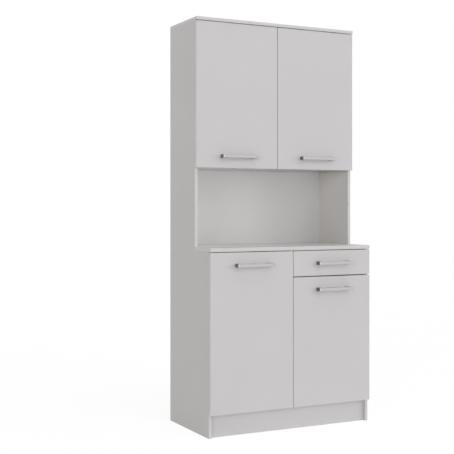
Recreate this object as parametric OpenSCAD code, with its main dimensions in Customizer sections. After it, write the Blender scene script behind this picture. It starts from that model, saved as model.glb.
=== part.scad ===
// Tall kitchen buffet: a base unit with two doors and a drawer, a worktop with an
// open niche above it, and an upper unit with two doors.
// Millimetres. The origin is on the floor, at the centre of the overall box.
// +X is to the right, +Y towards the wall and +Z up, so the fronts face -Y.

/* [Cabinet] */
// Width over the side panels
body_w = 850; // [700:10:1000]
// Height over the top panel
body_h = 1900; // [1800:10:2000]
// Depth of the side panels below the worktop
base_depth = 428; // [410:2:480]
// Depth of the side panels above the worktop
upper_depth = 281; // [260:1:300]
// Height of the worktop's upper face
worktop_h = 847; // [840:1:900]
// Clear height of the open niche
niche_h = 365; // [300:5:420]
// Height of the plinth
plinth_h = 100; // [80:5:150]
// How far the plinth stands behind the front edges of the side panels
plinth_setback = 15; // [0:1:40]
// Distance from the wall to the rear plinth rail
rail_inset = 30; // [0:5:60]

/* [Boards] */
// Thickness of the carcass boards
board_t = 15; // [15:1:19]
// Thickness of the worktop
worktop_t = 18; // [16:1:28]
// Thickness of the doors and the drawer front
front_t = 15; // [15:1:19]
// Thickness of the back panels and the drawer bottom
back_t = 3; // [2.5:0.5:5]
// Distance from the wall to the back panels
back_inset = 10; // [6:1:20]
// Depth of the grooves that hold the thin panels
groove = 5; // [4:1:7]

/* [Fronts] */
// Air gap between the carcass and the back of a front
front_gap = 2; // [1.5:0.1:3]
// Gap between two fronts side by side
pair_gap = 3; // [2:0.5:5]
// Gap between the top panel and the upper doors
top_gap = 2; // [1:0.5:4]
// Gap between the worktop and the fronts below it
worktop_gap = 3; // [2:0.5:5]
// Gap between the drawer front and the door below it
drawer_gap = 4.5; // [2:0.5:6]
// Height of the drawer front
drawer_front_h = 117.5; // [115:0.5:160]
// How far the base doors end above the plinth
base_reveal = 3; // [0:0.5:8]
// How far the upper doors reach below the floor of the upper unit
upper_drop = 1.5; // [0:0.5:6]
// How far the top panel stands out past the upper doors
top_lip = 4; // [0:1:20]
// How far the worktop stands out past the base doors
worktop_lip = 1; // [0:1:20]

/* [Shelves] */
// Clear height under the shelf of the upper unit
upper_shelf_clear = 322; // [200:2:400]
// Clear height under the shelf of the left base bay
left_shelf_clear = 340; // [200:2:420]
// Clear height under the shelf of the right base bay
right_shelf_clear = 280; // [200:2:400]
// How far the upper shelf ends behind the front edges of the carcass
upper_shelf_setback = 15; // [5:1:40]
// How far the base shelves end behind the front edges of the carcass
base_shelf_setback = 25; // [5:1:60]
// Side play of a loose shelf
shelf_play = 1; // [0.5:0.5:2]
// Distance from a carcass edge or back panel to a row of shelf holes
pin_row_inset = 50; // [45:1:70]
// Pitch of the shelf holes
pin_pitch = 32; // [25:1:40]
// Holes above and below the one that is in use
pin_spare = 2; // [0:1:3]
// Diameter of the shelf holes
pin_hole_d = 5; // [4:0.5:6]
// Depth of the shelf holes
pin_hole_depth = 9; // [8:0.5:11]
// Height of a shelf support's back plate
support_h = 14; // [12:1:18]
// Width of a shelf support
support_w = 8; // [7:1:14]
// How far a shelf support reaches under the shelf
support_reach = 9; // [7:1:14]

/* [Handles] */
// Distance between a handle's two screws
handle_pitch = 160; // [96:32:192]
// Width of a handle's legs
handle_leg = 18; // [10:1:20]
// How far a handle stands out from its front
handle_reach = 34; // [28:1:40]
// Thickness of a handle's bar
handle_bar = 9; // [6:0.5:12]
// Height of a handle
handle_h = 16; // [10:1:20]
// Radius of a handle's outer corners
handle_round = 5; // [2:0.5:6]
// Radius of the corners inside a handle
handle_inner_round = 3; // [1:0.5:5]
// Height of the upper handles above the lower edges of their doors
upper_handle_inset = 54; // [40:1:80]
// Diameter of the handle screws
handle_screw_d = 4; // [3.5:0.5:5]
// How far the handle screws reach into a leg
handle_screw_grip = 10; // [8:1:12]

/* [Hinges] */
// Distance from the ends of a door to its hinges
hinge_end = 100; // [70:5:140]
// Diameter of the hinge cups
cup_d = 35; // [34:1:38]
// Depth of the bores for the hinge cups
cup_depth = 12; // [11.5:0.1:12.5]
// Thickness of the cup floor under the knuckle
cup_floor = 1; // [0.8:0.1:1.5]
// Thickness of the cup flange
flange_t = 1; // [0.8:0.1:1.5]
// Radius of the hinge pin
hinge_pin_r = 1.2; // [1:0.1:1.2]
// Radius of the knuckle round the pin
knuckle_r = 2; // [1.8:0.1:2.2]
// Width of the knuckle
knuckle_w = 6; // [5:0.5:7]
// Thickness of the hinge arm
arm_t = 2; // [1.5:0.1:2.5]
// Width of the hinge arm
arm_w = 14; // [12:1:16]
// Length of the hinge arm behind the front edge
arm_len = 62; // [58:1:70]
// Room between a door's turning corner and the carcass
swing_clear = 0.25; // [0.15:0.05:0.4]
// Distance from the front edge to the hinge plate screws
plate_line = 37; // [32:1:40]
// Length of a hinge plate along the arm
plate_l = 26; // [22:1:34]
// Height of a hinge plate
plate_h = 48; // [44:1:60]
// Distance between the two screws of a hinge plate
plate_pitch = 32; // [28:1:36]
// Distance between the two screws of a hinge cup
cup_pitch = 48; // [45:1:52]

/* [Drawer] */
// Length of the drawer's sides
drawer_len = 350; // [300:10:360]
// Height of the drawer's sides
drawer_side_h = 80; // [75:1:85]
// Thickness of the drawer's sides and back
drawer_board_t = 12; // [12:1:15]
// Height of the drawer's sides above the lower edge of its front
drawer_lift = 13.5; // [8:0.5:16]
// Height of the drawer bottom above the lower edges of the sides
drawer_bottom_lift = 8; // [6:1:14]
// Room for a runner between the cabinet and the drawer
runner_gap = 12.5; // [12.5:0.1:14]
// Thickness of the runners' steel
runner_t = 1.2; // [1:0.1:1.3]
// Diameter of the runner rollers
roller_d = 18; // [16:1:20]
// Width of the runner rollers
roller_w = 7; // [5:0.5:7]
// Radius of the roller axles
axle_r = 2.5; // [2:0.1:3]
// Distance from a runner's end to its roller
roller_inset = 12; // [11:1:20]

/* [Fittings] */
// Distance from a board's edge to its cam fittings
fix_inset = 50; // [40:1:60]
// Diameter of the cam locks
cam_d = 15; // [14:0.5:16]
// Depth of the cam locks
cam_h = 12; // [11:0.5:13]
// Distance from the joint to the centre of a cam lock
cam_inset = 24; // [20:1:34]
// Diameter of the cam locks in the drawer's sides
drawer_cam_d = 12; // [11:0.5:13]
// Depth of the cam locks in the drawer's sides
drawer_cam_h = 9.5; // [9:0.5:10.5]
// Depth of the bolt holes in the board that a cam bolt screws into
bolt_grip = 10; // [8:0.5:11]
// Diameter of the wooden dowels
dowel_d = 8; // [6:1:8]
// How far a dowel reaches into the board whose end it joins
dowel_deep = 20; // [16:1:25]
// How far a dowel reaches into the other board
dowel_shallow = 10; // [8:0.5:11]
// Distance between the two wall brackets
bracket_pitch = 600; // [400:10:640]
// Length of a wall bracket's legs
bracket_leg = 32; // [28:1:40]
// Width of a wall bracket
bracket_w = 20; // [16:1:30]
// Thickness of a wall bracket
bracket_t = 2; // [1.5:0.5:3]
// Diameter of the hole for the wall screw
wall_hole_d = 5.5; // [4.5:0.5:7]
// Diameter of the bumpers
bumper_d = 6; // [5:0.5:6]

/* [Hidden] */
$fn = 48;
// Room round a fitting in its hole, and between a bumper and its front
play = 0.1;
bumper_play = 0.3;
// Running clearance of a pin or an axle, and rolling clearance of a roller
run_play = 0.05;
roll_play = 0.3;
overcut = 1;

board_colour = [0.79, 0.79, 0.785];
front_colour = [0.8, 0.8, 0.795];
thin_colour = [0.74, 0.74, 0.735];
chrome_colour = [0.72, 0.73, 0.75];
steel_colour = [0.62, 0.63, 0.65];
zinc_colour = [0.7, 0.7, 0.68];
dowel_colour = [0.82, 0.68, 0.48];
plastic_colour = [0.92, 0.92, 0.9];

// Places across the width
half_w = body_w / 2;
in_x = half_w - board_t;
divider_x = board_t / 2;
handle_x = (half_w + pair_gap / 2) / 2;

// Distances from the wall
in_d = back_inset + back_t;
base_back_d = base_depth + front_gap;
upper_back_d = upper_depth + front_gap;
base_face_d = base_back_d + front_t;
upper_face_d = upper_back_d + front_t;
total_depth = base_face_d + handle_reach;
back_y = total_depth / 2;
plinth_d = base_depth - plinth_setback - board_t;
step_mid_d = (upper_depth + base_depth) / 2;

// Heights
floor_z = plinth_h + board_t;
step_z = worktop_h - worktop_t;
loft_z = worktop_h + niche_h;
loft_floor_z = loft_z + board_t;
top_z = body_h - board_t;
upper_door_z = [loft_z - upper_drop, top_z - top_gap];
base_front_top = step_z - worktop_gap;
left_door_z = [plinth_h + base_reveal, base_front_top];
drawer_front_z = [base_front_top - drawer_front_h, base_front_top];
right_door_z = [plinth_h + base_reveal, drawer_front_z[0] - drawer_gap];
drawer_handle_z = (drawer_front_z[0] + drawer_front_z[1]) / 2;
base_handle_inset = drawer_front_h / 2;
upper_shelf_z = loft_floor_z + upper_shelf_clear;
left_shelf_z = floor_z + left_shelf_clear;
right_shelf_z = floor_z + right_shelf_clear;
upper_rows = [in_d + pin_row_inset, upper_depth - pin_row_inset];
base_rows = [in_d + pin_row_inset, base_depth - pin_row_inset];
pin_drop = support_h / 2;

// The hinge pin: its depth in the door, and its distance from the door's outer edge.
// The corner of the door turns about it just clear of the carcass.
pin_depth = cup_depth - cup_floor - knuckle_r - 0.3;
corner_reach = pin_depth + front_gap - swing_clear;
pin_inset = sqrt(corner_reach * corner_reach - pin_depth * pin_depth);
cup_wall = 1.1;
cup_x = pin_inset - knuckle_r - cup_wall + cup_d / 2;
slot_w = knuckle_w + 0.6;
hinge_pin_l = cup_d * 0.4;
flange_r = cup_d / 2 + 0.5;
wing_x = cup_x + 4;
wing_w = 12;
plate_t = max(2, pin_inset + pin_depth + flange_t + 0.5 - board_t);
arm_x = board_t + plate_t;
plate_y = front_gap + plate_line;
upper_hinge_z = [upper_door_z[0] + hinge_end, upper_door_z[1] - hinge_end];
left_hinge_z = [left_door_z[0] + hinge_end, left_door_z[1] - hinge_end];
right_hinge_z = [right_door_z[0] + hinge_end, right_door_z[1] - hinge_end];

// Screws: shank radius, head radius and head height
small_screw = [1.75, 3.5, 1.2];
plate_screw = [2, 4, 1.5];
handle_screw = [handle_screw_d / 2, handle_screw_d, 2.2];
wood_screw_l = 12;

// The drawer box, between the divider and the right side panel
bay_mid_x = (divider_x + in_x) / 2;
drawer_x = [divider_x + runner_gap, in_x - runner_gap];
drawer_in_x = [drawer_x[0] + drawer_board_t, drawer_x[1] - drawer_board_t];
drawer_back_d = base_back_d - drawer_len;
drawer_z = drawer_front_z[0] + drawer_lift;
drawer_bottom_z = drawer_z + drawer_bottom_lift;
drawer_cam_z = drawer_z + drawer_side_h * 0.65;

// The runners, in a frame on the cabinet's wall: the drawer's side is at runner_gap
roller_r = roller_d / 2;
runner_end_play = 2;
runner_floor = 0.2;
roller_z = runner_floor + runner_t + roll_play + roller_r;
wing_z = roller_z + roller_r + roll_play;
runner_top = wing_z + runner_t + play;
drawer_web_x = runner_gap - runner_t;
fixed_roller_d = base_depth - runner_end_play - roller_inset;
drawer_roller_d = drawer_back_d + roller_inset;
runner_screw_d = [base_depth - plate_line, base_depth - plate_line - 7 * 32];

// Helpers

// A span along X that is mirrored to the left where the side is -1
function span(side, a, b) = side > 0 ? [a, b] : [-b, -a];

// A board between two places across, two distances from the wall and two heights
module slab(x, d, z)
    translate([x[0], back_y - d[1], z[0]])
        cube([x[1] - x[0], d[1] - d[0], z[1] - z[0]]);

// Moves its children to a place across, a distance from the wall and a height
module at(x, d, z) translate([x, back_y - d, z]) children();

// Rods along X, towards the wall and towards the room
module rod_x(r, l) rotate([0, 90, 0]) cylinder(r = r, h = l);
module rod_back(r, l) rotate([-90, 0, 0]) cylinder(r = r, h = l);
module rod_out(r, l) rotate([90, 0, 0]) cylinder(r = r, h = l);

// A screw along -Z whose head rests on the plane z = 0
module screw(size, l) {
    translate([0, 0, -l]) cylinder(r = size[0] - play / 2, h = l);
    cylinder(r = size[1], h = size[2]);
}

// Board joints. Each puts its children on the joint plane with +X into the end of the
// board that holds the cam and +Z towards the face that the cam is set in.
module loft_joints(ds, sides = [-1, 1])
    for (s = sides, d = ds)
        at(s * in_x, d, loft_z + board_t / 2) rotate([0, 0, s < 0 ? 0 : 180]) children();

module floor_joints(ds, sides = [-1, 1])
    for (s = sides, d = ds)
        at(s * in_x, d, plinth_h + board_t / 2) rotate(s < 0 ? [180, 0, 0] : [0, 180, 0]) children();

module top_joints(ds, sides = [-1, 1])
    for (s = sides, d = ds)
        at(s * (half_w - board_t / 2), d, top_z) rotate([0, 90, s < 0 ? 0 : 180]) children();

module step_joints(ds, sides = [-1, 1])
    for (s = sides, d = ds)
        at(s * (half_w - board_t / 2), d, step_z) rotate([0, 90, s < 0 ? 0 : 180]) children();

module plinth_joints(sides = [-1, 1])
    for (s = sides, d = [rail_inset + board_t / 2, plinth_d + board_t / 2])
        at(s * in_x, d, plinth_h / 2) rotate([0, 0, s < 0 ? 0 : 180]) children();

module divider_top_joints(ds) for (d = ds) at(0, d, step_z) rotate([0, 90, 0]) children();

module divider_foot_joints(ds) for (d = ds) at(0, d, floor_z) rotate([0, -90, 0]) children();

upper_cams = [fix_inset, upper_depth - fix_inset];
base_cams = [fix_inset, base_depth - fix_inset];
step_dowels = [step_mid_d - 40, step_mid_d + 40];

module side_cam_joints(sides = [-1, 1]) {
    top_joints(upper_cams, sides) children();
    step_joints([step_mid_d], sides) children();
}

module board_cam_joints(sides = [-1, 1]) {
    loft_joints(upper_cams, sides) children();
    floor_joints(base_cams, sides) children();
}

module side_dowel_joints(sides = [-1, 1]) {
    top_joints([upper_depth / 2], sides) children();
    step_joints(step_dowels, sides) children();
}

module board_dowel_joints(sides = [-1, 1]) {
    loft_joints([upper_depth / 2], sides) children();
    floor_joints([base_depth / 2], sides) children();
    plinth_joints(sides) children();
}

module divider_dowel_joints() {
    divider_top_joints(base_cams) children();
    divider_foot_joints(base_cams) children();
}

// Joints of the drawer's sides with its front
module drawer_joints() {
    at(drawer_x[0] + drawer_board_t / 2, base_back_d, drawer_cam_z) rotate([90, 0, 90]) children();
    at(drawer_x[1] - drawer_board_t / 2, base_back_d, drawer_cam_z) rotate([-90, 0, 90]) children();
}

// The cam lock, its bolt and a dowel, and what is cut for them on either side of the joint
bolt_r = 3;
bolt_head_r = 3.4;
bolt_hole_r = 4;

module cam_lock(t, d, h)
    difference() {
        translate([cam_inset, 0, t / 2 - h]) cylinder(d = d, h = h);
        rod_x(bolt_hole_r - 0.5, cam_inset + bolt_head_r + 1);
        for (a = [45, 135])
            translate([cam_inset, 0, t / 2])
                rotate([0, 0, a]) cube([d * 0.6, 1.6, 2.4], center = true);
    }

module cam_bolt() {
    translate([-bolt_grip, 0, 0]) rod_x(bolt_r - play / 2, bolt_grip + 1.2);
    rod_x(bolt_r - 0.8, cam_inset - 2);
    translate([cam_inset - 3, 0, 0]) rod_x(bolt_head_r, 3.5);
    rod_x(bolt_hole_r - play, 1.5);
}

module cam_cut(t, d, h) {
    translate([cam_inset, 0, t / 2 - h]) cylinder(r = d / 2 + play, h = h + overcut);
    translate([-overcut, 0, 0]) rod_x(bolt_hole_r, overcut + cam_inset);
}

module cam_mate_cut() translate([-bolt_grip - play, 0, 0]) rod_x(bolt_r, bolt_grip + play + overcut);

module dowel() translate([-dowel_shallow, 0, 0]) rod_x(dowel_d / 2 - play / 2, dowel_shallow + dowel_deep);

module dowel_end_cut() translate([-overcut, 0, 0]) rod_x(dowel_d / 2, overcut + dowel_deep + 0.5);

module dowel_face_cut()
    translate([-dowel_shallow - 0.5, 0, 0]) rod_x(dowel_d / 2, dowel_shallow + 0.5 + overcut);

// Shelf rows. Each puts its children on a wall face, under the shelf, with +X into the bay.
module shelf_places(faces, rows, z)
    for (f = faces, d = rows)
        at(f[0], d, z) rotate([0, 0, f[1] > 0 ? 0 : 180]) children();

left_faces = [[-in_x, 1], [-divider_x, -1]];
right_faces = [[divider_x, 1], [in_x, -1]];
upper_faces = [[-in_x, 1], [in_x, -1]];

module shelf_holes()
    for (k = [-pin_spare:pin_spare])
        translate([-pin_hole_depth, 0, k * pin_pitch - pin_drop])
            rod_x(pin_hole_d / 2, pin_hole_depth + overcut);

module shelf_support() {
    plate = 2;
    translate([0, -support_w / 2, -support_h]) cube([plate, support_w, support_h]);
    translate([0, -support_w / 2, -plate]) cube([support_reach, support_w, plate]);
    translate([-pin_hole_depth + play, 0, -pin_drop])
        rod_x(pin_hole_d / 2 - play / 2, pin_hole_depth - play + 1);
}

// Hinges. The frame has its origin on the back plane of the door, in line with its outer
// edge, with +X towards the free edge and +Y into the cabinet.
module at_hinges(side, depth, zs)
    for (z = zs) at(side * half_w, depth + front_gap, z) mirror([side > 0 ? 1 : 0, 0, 0]) children();

module hinge_cup()
    difference() {
        union() {
            translate([cup_x, 0, 0]) rod_out(cup_d / 2 - play, cup_depth);
            translate([cup_x, flange_t, 0]) rod_out(flange_r, flange_t);
            translate([wing_x - wing_w / 2, 0, -cup_pitch / 2 - wing_w / 2])
                cube([wing_w, flange_t, cup_pitch + wing_w]);
        }
        intersection() {
            translate([cup_x, flange_t + overcut, 0])
                rod_out(cup_d / 2 - 1.2, flange_t + overcut + cup_depth - cup_floor);
            translate([pin_inset + knuckle_r + 1.2, -cup_depth, -cup_d * 0.27])
                cube([cup_d, cup_depth + flange_t + overcut * 2, cup_d * 0.54]);
        }
        translate([pin_inset - knuckle_r - 0.3, cup_floor - cup_depth, -slot_w / 2])
            cube([knuckle_r * 2 + 3, cup_depth + flange_t, slot_w]);
        translate([pin_inset, -pin_depth, -hinge_pin_l / 2 - play])
            cylinder(r = hinge_pin_r + 0.02, h = hinge_pin_l + play * 2);
        for (k = [-1, 1])
            translate([wing_x, -overcut, k * cup_pitch / 2])
                rod_back(small_screw[0] + play, flange_t + overcut * 2);
    }

module hinge_pin()
    translate([pin_inset, -pin_depth, -hinge_pin_l / 2]) cylinder(r = hinge_pin_r, h = hinge_pin_l);

module hinge_arm()
    difference() {
        union() {
            translate([pin_inset, -pin_depth, -knuckle_w / 2]) cylinder(r = knuckle_r, h = knuckle_w);
            translate([pin_inset, -pin_depth - arm_t / 2, -knuckle_w / 2])
                cube([arm_x + arm_t - pin_inset, arm_t, knuckle_w]);
            translate([arm_x, -pin_depth - arm_t / 2, -arm_w / 2])
                cube([arm_t, pin_depth + arm_t / 2 + front_gap + arm_len, arm_w]);
        }
        translate([pin_inset, -pin_depth, -knuckle_w])
            cylinder(r = hinge_pin_r + run_play, h = knuckle_w * 2);
        translate([arm_x - overcut, plate_y, 0]) rod_x(plate_screw[0] + play, arm_t + overcut * 2);
    }

module hinge_plate()
    difference() {
        union() {
            translate([board_t, plate_y - plate_l / 2, -arm_w / 2 - 1])
                cube([plate_t, plate_l + 8, arm_w + 2]);
            translate([board_t, plate_y - plate_l / 3, -plate_h / 2])
                cube([plate_t, plate_l * 2 / 3, plate_h]);
        }
        for (k = [-1, 0, 1])
            translate([board_t - overcut, plate_y, k * plate_pitch / 2])
                rod_x(plate_screw[0] + play, plate_t + overcut * 2);
    }

// The two screws of a plate and the one that holds the arm on it
module hinge_plate_screws() {
    for (k = [-1, 1])
        translate([arm_x, plate_y, k * plate_pitch / 2]) rotate([0, 90, 0]) screw(plate_screw, wood_screw_l);
    translate([arm_x + arm_t, plate_y, 0]) rotate([0, 90, 0]) screw(plate_screw, wood_screw_l);
}

module hinge_plate_holes()
    for (k = [-1, 0, 1])
        translate([arm_x - wood_screw_l - play, plate_y, k * plate_pitch / 2])
            rod_x(plate_screw[0], wood_screw_l);

module cup_screws()
    for (k = [-1, 1])
        translate([wing_x, flange_t, k * cup_pitch / 2])
            rotate([-90, 0, 0]) screw(small_screw, wood_screw_l - flange_t);

module cup_bore() {
    translate([cup_x, overcut, 0]) rod_out(cup_d / 2, cup_depth + overcut);
    for (k = [-1, 1])
        translate([wing_x, overcut, k * cup_pitch / 2])
            rod_out(small_screw[0], wood_screw_l + overcut);
}

// Handles. The frame has its origin on the face of the front, at the handle's centre.
module bow(w, reach, r) {
    translate([-w / 2, r - reach]) square([w, reach - r]);
    translate([r - w / 2, -reach]) square([w - r * 2, reach]);
    for (k = [-1, 1]) translate([k * (w / 2 - r), r - reach]) circle(r = r);
}

module handle_body()
    color(chrome_colour) difference() {
        translate([0, 0, -handle_h / 2]) linear_extrude(handle_h) difference() {
            bow(handle_pitch + handle_leg, handle_reach, handle_round);
            translate([0, overcut])
                bow(handle_pitch - handle_leg, handle_reach - handle_bar + overcut, handle_inner_round);
        }
        for (k = [-1, 1])
            translate([k * handle_pitch / 2, overcut, 0])
                rod_out(handle_screw_d / 2, handle_screw_grip + play + overcut);
    }

module handle_screws()
    for (k = [-1, 1])
        translate([k * handle_pitch / 2, front_t, 0]) rotate([-90, 0, 0])
            screw(handle_screw, front_t + handle_screw_grip);

module handle_holes()
    for (k = [-1, 1])
        translate([k * handle_pitch / 2, -overcut, 0])
            rod_back(handle_screw_d / 2 + 0.5, front_t + overcut * 2);

// Carcass

module side_panel(s) {
    profile = [
        [0, 0], [-base_depth, 0], [-base_depth, step_z],
        [-upper_depth, step_z], [-upper_depth, top_z], [0, top_z],
    ];
    color(board_colour) difference() {
        translate([s < 0 ? -half_w : in_x, back_y, 0])
            rotate([90, 0, 90]) linear_extrude(board_t) polygon(profile);
        slab(span(s, in_x - overcut, in_x + groove), [back_inset - play, in_d + play],
            [plinth_h, top_z + overcut]);
        side_cam_joints([s]) cam_cut(board_t, cam_d, cam_h);
        board_cam_joints([s]) cam_mate_cut();
        side_dowel_joints([s]) dowel_end_cut();
        board_dowel_joints([s]) dowel_face_cut();
        shelf_places([[s * in_x, -s]], upper_rows, upper_shelf_z) shelf_holes();
        shelf_places([[s * in_x, -s]], base_rows, s < 0 ? left_shelf_z : right_shelf_z) shelf_holes();
        at_hinges(s, upper_depth, upper_hinge_z) hinge_plate_holes();
        at_hinges(s, base_depth, s < 0 ? left_hinge_z : right_hinge_z) hinge_plate_holes();
        if (s > 0) at_runner(1) runner_screw_holes();
    }
}

module side_left() side_panel(-1);

module side_right() side_panel(1);

module top_panel()
    color(board_colour) difference() {
        slab([-half_w, half_w], [0, upper_face_d + top_lip], [top_z, body_h]);
        side_cam_joints() cam_mate_cut();
        side_dowel_joints() dowel_face_cut();
        at_brackets() bracket_screw_hole();
    }

module upper_floor()
    color(board_colour) difference() {
        slab([-in_x, in_x], [in_d, upper_depth], [loft_z, loft_floor_z]);
        board_cam_joints() cam_cut(board_t, cam_d, cam_h);
        board_dowel_joints() dowel_end_cut();
    }

module upper_shelf()
    color(board_colour)
        slab([-in_x + shelf_play, in_x - shelf_play], [in_d + shelf_play, upper_depth - upper_shelf_setback],
            [upper_shelf_z, upper_shelf_z + board_t]);

module worktop() {
    front_y = -base_face_d - worktop_lip;
    outline = [
        [-in_x, -in_d], [in_x, -in_d], [in_x, -upper_depth], [half_w, -upper_depth],
        [half_w, front_y], [-half_w, front_y], [-half_w, -upper_depth], [-in_x, -upper_depth],
    ];
    color(board_colour) difference() {
        translate([0, back_y, step_z]) linear_extrude(worktop_t) polygon(outline);
        side_cam_joints() cam_mate_cut();
        side_dowel_joints() dowel_face_cut();
        divider_dowel_joints() dowel_face_cut();
    }
}

module divider()
    color(board_colour) difference() {
        slab([-divider_x, divider_x], [in_d, base_depth], [floor_z, step_z]);
        divider_dowel_joints() dowel_end_cut();
        shelf_places([left_faces[1]], base_rows, left_shelf_z) shelf_holes_short();
        shelf_places([right_faces[0]], base_rows, right_shelf_z) shelf_holes_short();
        at_runner(-1) runner_screw_holes();
    }

// The divider has holes on both faces, so they stop short of its middle
divider_hole_depth = board_t / 2 - 0.7;
module shelf_holes_short()
    intersection() {
        shelf_holes();
        translate([-divider_hole_depth, -pin_hole_d, -pin_pitch * (pin_spare + 1)])
            cube([divider_hole_depth + overcut, pin_hole_d * 2, pin_pitch * (pin_spare + 1) * 2]);
    }

module bottom_panel()
    color(board_colour) difference() {
        slab([-in_x, in_x], [in_d, base_depth], [plinth_h, floor_z]);
        board_cam_joints() cam_cut(board_t, cam_d, cam_h);
        board_dowel_joints() dowel_end_cut();
        divider_dowel_joints() dowel_face_cut();
    }

module plinth_board(d)
    color(board_colour) difference() {
        slab([-in_x, in_x], [d, d + board_t], [0, plinth_h]);
        plinth_joints() dowel_end_cut();
    }

module plinth_front() plinth_board(plinth_d);

module plinth_rear() plinth_board(rail_inset);

module base_shelf(x, z)
    color(board_colour)
        slab([x[0] + shelf_play, x[1] - shelf_play], [in_d + shelf_play, base_depth - base_shelf_setback],
            [z, z + board_t]);

module shelf_left() base_shelf([-in_x, -divider_x], left_shelf_z);

module shelf_right() base_shelf([divider_x, in_x], right_shelf_z);

// The back panels meet behind the middle of the worktop and of the upper floor
worktop_mid_z = step_z + worktop_t / 2;
loft_mid_z = loft_z + board_t / 2;

module back_sheet(z)
    color(thin_colour) slab([-in_x - groove + play, in_x + groove - play], [back_inset, in_d], z);

module back_upper()
    difference() {
        back_sheet([loft_mid_z, top_z]);
        at_brackets() wall_screw_hole(back_t + overcut * 2);
    }

module back_niche() back_sheet([worktop_mid_z, loft_mid_z]);

module back_base() back_sheet([plinth_h, worktop_mid_z]);

module shelf_supports()
    color(zinc_colour) {
        shelf_places(upper_faces, upper_rows, upper_shelf_z) shelf_support();
        shelf_places([left_faces[0]], base_rows, left_shelf_z) shelf_support();
        shelf_places([right_faces[1]], base_rows, right_shelf_z) shelf_support();
        shelf_places([left_faces[1]], base_rows, left_shelf_z) shelf_support_short();
        shelf_places([right_faces[0]], base_rows, right_shelf_z) shelf_support_short();
    }

module shelf_support_short()
    intersection() {
        shelf_support();
        translate([play - divider_hole_depth, -support_w, -support_h])
            cube([divider_hole_depth + support_reach, support_w * 2, support_h]);
    }

module cam_locks()
    color(zinc_colour) {
        side_cam_joints() cam_lock(board_t, cam_d, cam_h);
        board_cam_joints() cam_lock(board_t, cam_d, cam_h);
    }

module cam_bolts()
    color(steel_colour) {
        side_cam_joints() cam_bolt();
        board_cam_joints() cam_bolt();
    }

module dowels()
    color(dowel_colour) {
        side_dowel_joints() dowel();
        board_dowel_joints() dowel();
        divider_dowel_joints() dowel();
    }

// Wall brackets, under the top panel and in front of the upper back panel. The frame has
// its origin in that corner, with +X across, -Y into the cabinet and +Z up.
wall_hole_drop = bracket_leg * 0.7;

module at_brackets() for (k = [-1, 1]) at(k * bracket_pitch / 2, in_d, top_z) children();

module wall_screw_hole(l)
    translate([0, -bracket_t - overcut, -wall_hole_drop]) rod_back(wall_hole_d / 2, l + bracket_t + overcut);

module bracket_screw_hole()
    translate([0, -wall_hole_drop, -overcut])
        cylinder(r = small_screw[0], h = wood_screw_l - bracket_t + overcut);

module wall_brackets()
    color(steel_colour) at_brackets() difference() {
        union() {
            translate([-bracket_w / 2, -bracket_leg, -bracket_t]) cube([bracket_w, bracket_leg, bracket_t]);
            translate([-bracket_w / 2, -bracket_t, -bracket_leg]) cube([bracket_w, bracket_t, bracket_leg]);
        }
        wall_screw_hole(overcut);
        translate([0, -wall_hole_drop, -bracket_t - overcut])
            cylinder(r = small_screw[0] + play, h = bracket_t + overcut * 2);
    }

// Bumpers on the front edges of the upper floor, the bottom panel and the divider
module bumper() rod_out(bumper_d / 2, front_gap - bumper_play);

bumper_x = 40;
divider_bumper_x = (pair_gap / 2 + divider_x) / 2;
divider_bumper_d = divider_x - pair_gap / 2;
base_bumper_z = (left_door_z[0] + floor_z) / 2;

module bumpers()
    color(plastic_colour) {
        for (s = [-1, 1]) {
            at(s * bumper_x, upper_depth, loft_mid_z) bumper();
            at(s * bumper_x, base_depth, base_bumper_z) bumper();
        }
        divider_bumper(-1, left_door_z[1] - bumper_x);
        divider_bumper(1, right_door_z[1] - bumper_x);
        divider_bumper(1, drawer_handle_z);
    }

module divider_bumper(s, z)
    at(s * divider_bumper_x, base_depth, z)
        rod_out(min(bumper_d, divider_bumper_d) / 2, front_gap - bumper_play);

module hinge_plates()
    color(steel_colour) for (s = [-1, 1]) {
        at_hinges(s, upper_depth, upper_hinge_z) hinge_plate();
        at_hinges(s, base_depth, s < 0 ? left_hinge_z : right_hinge_z) hinge_plate();
    }

module carcass_screws()
    color(steel_colour) {
        for (s = [-1, 1]) {
            at_hinges(s, upper_depth, upper_hinge_z) hinge_plate_screws();
            at_hinges(s, base_depth, s < 0 ? left_hinge_z : right_hinge_z) hinge_plate_screws();
            at_runner(s) runner_screws();
        }
        at_brackets() translate([0, -wall_hole_drop, -bracket_t])
            rotate([180, 0, 0]) screw(small_screw, wood_screw_l);
    }

// Hinge arms, fixed to the cabinet

module arms(side, depth, zs) color(steel_colour) at_hinges(side, depth, zs) hinge_arm();

module upper_left_arms() arms(-1, upper_depth, upper_hinge_z);

module upper_right_arms() arms(1, upper_depth, upper_hinge_z);

module base_left_arms() arms(-1, base_depth, left_hinge_z);

module base_right_arms() arms(1, base_depth, right_hinge_z);

// Doors, with the cups, pins and screws that move with them

module door(side, depth, z, hinges, handle_z)
    color(front_colour) difference() {
        slab(span(side, pair_gap / 2, half_w), [depth + front_gap, depth + front_gap + front_t], z);
        at_hinges(side, depth, hinges) cup_bore();
        at(side * handle_x, depth + front_gap + front_t, handle_z) handle_holes();
    }

module door_screws(side, depth, hinges, handle_z)
    color(steel_colour) {
        at_hinges(side, depth, hinges) cup_screws();
        at(side * handle_x, depth + front_gap + front_t, handle_z) handle_screws();
    }

module cups(side, depth, zs) color(zinc_colour) at_hinges(side, depth, zs) hinge_cup();

module pins(side, depth, zs) color(steel_colour) at_hinges(side, depth, zs) hinge_pin();

upper_handle_z = upper_door_z[0] + upper_handle_inset;
left_handle_z = left_door_z[1] - base_handle_inset;
right_handle_z = right_door_z[1] - base_handle_inset;

module upper_left_door() door(-1, upper_depth, upper_door_z, upper_hinge_z, upper_handle_z);

module upper_left_handle() at(-handle_x, upper_face_d, upper_handle_z) handle_body();

module upper_left_cups() cups(-1, upper_depth, upper_hinge_z);

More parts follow.
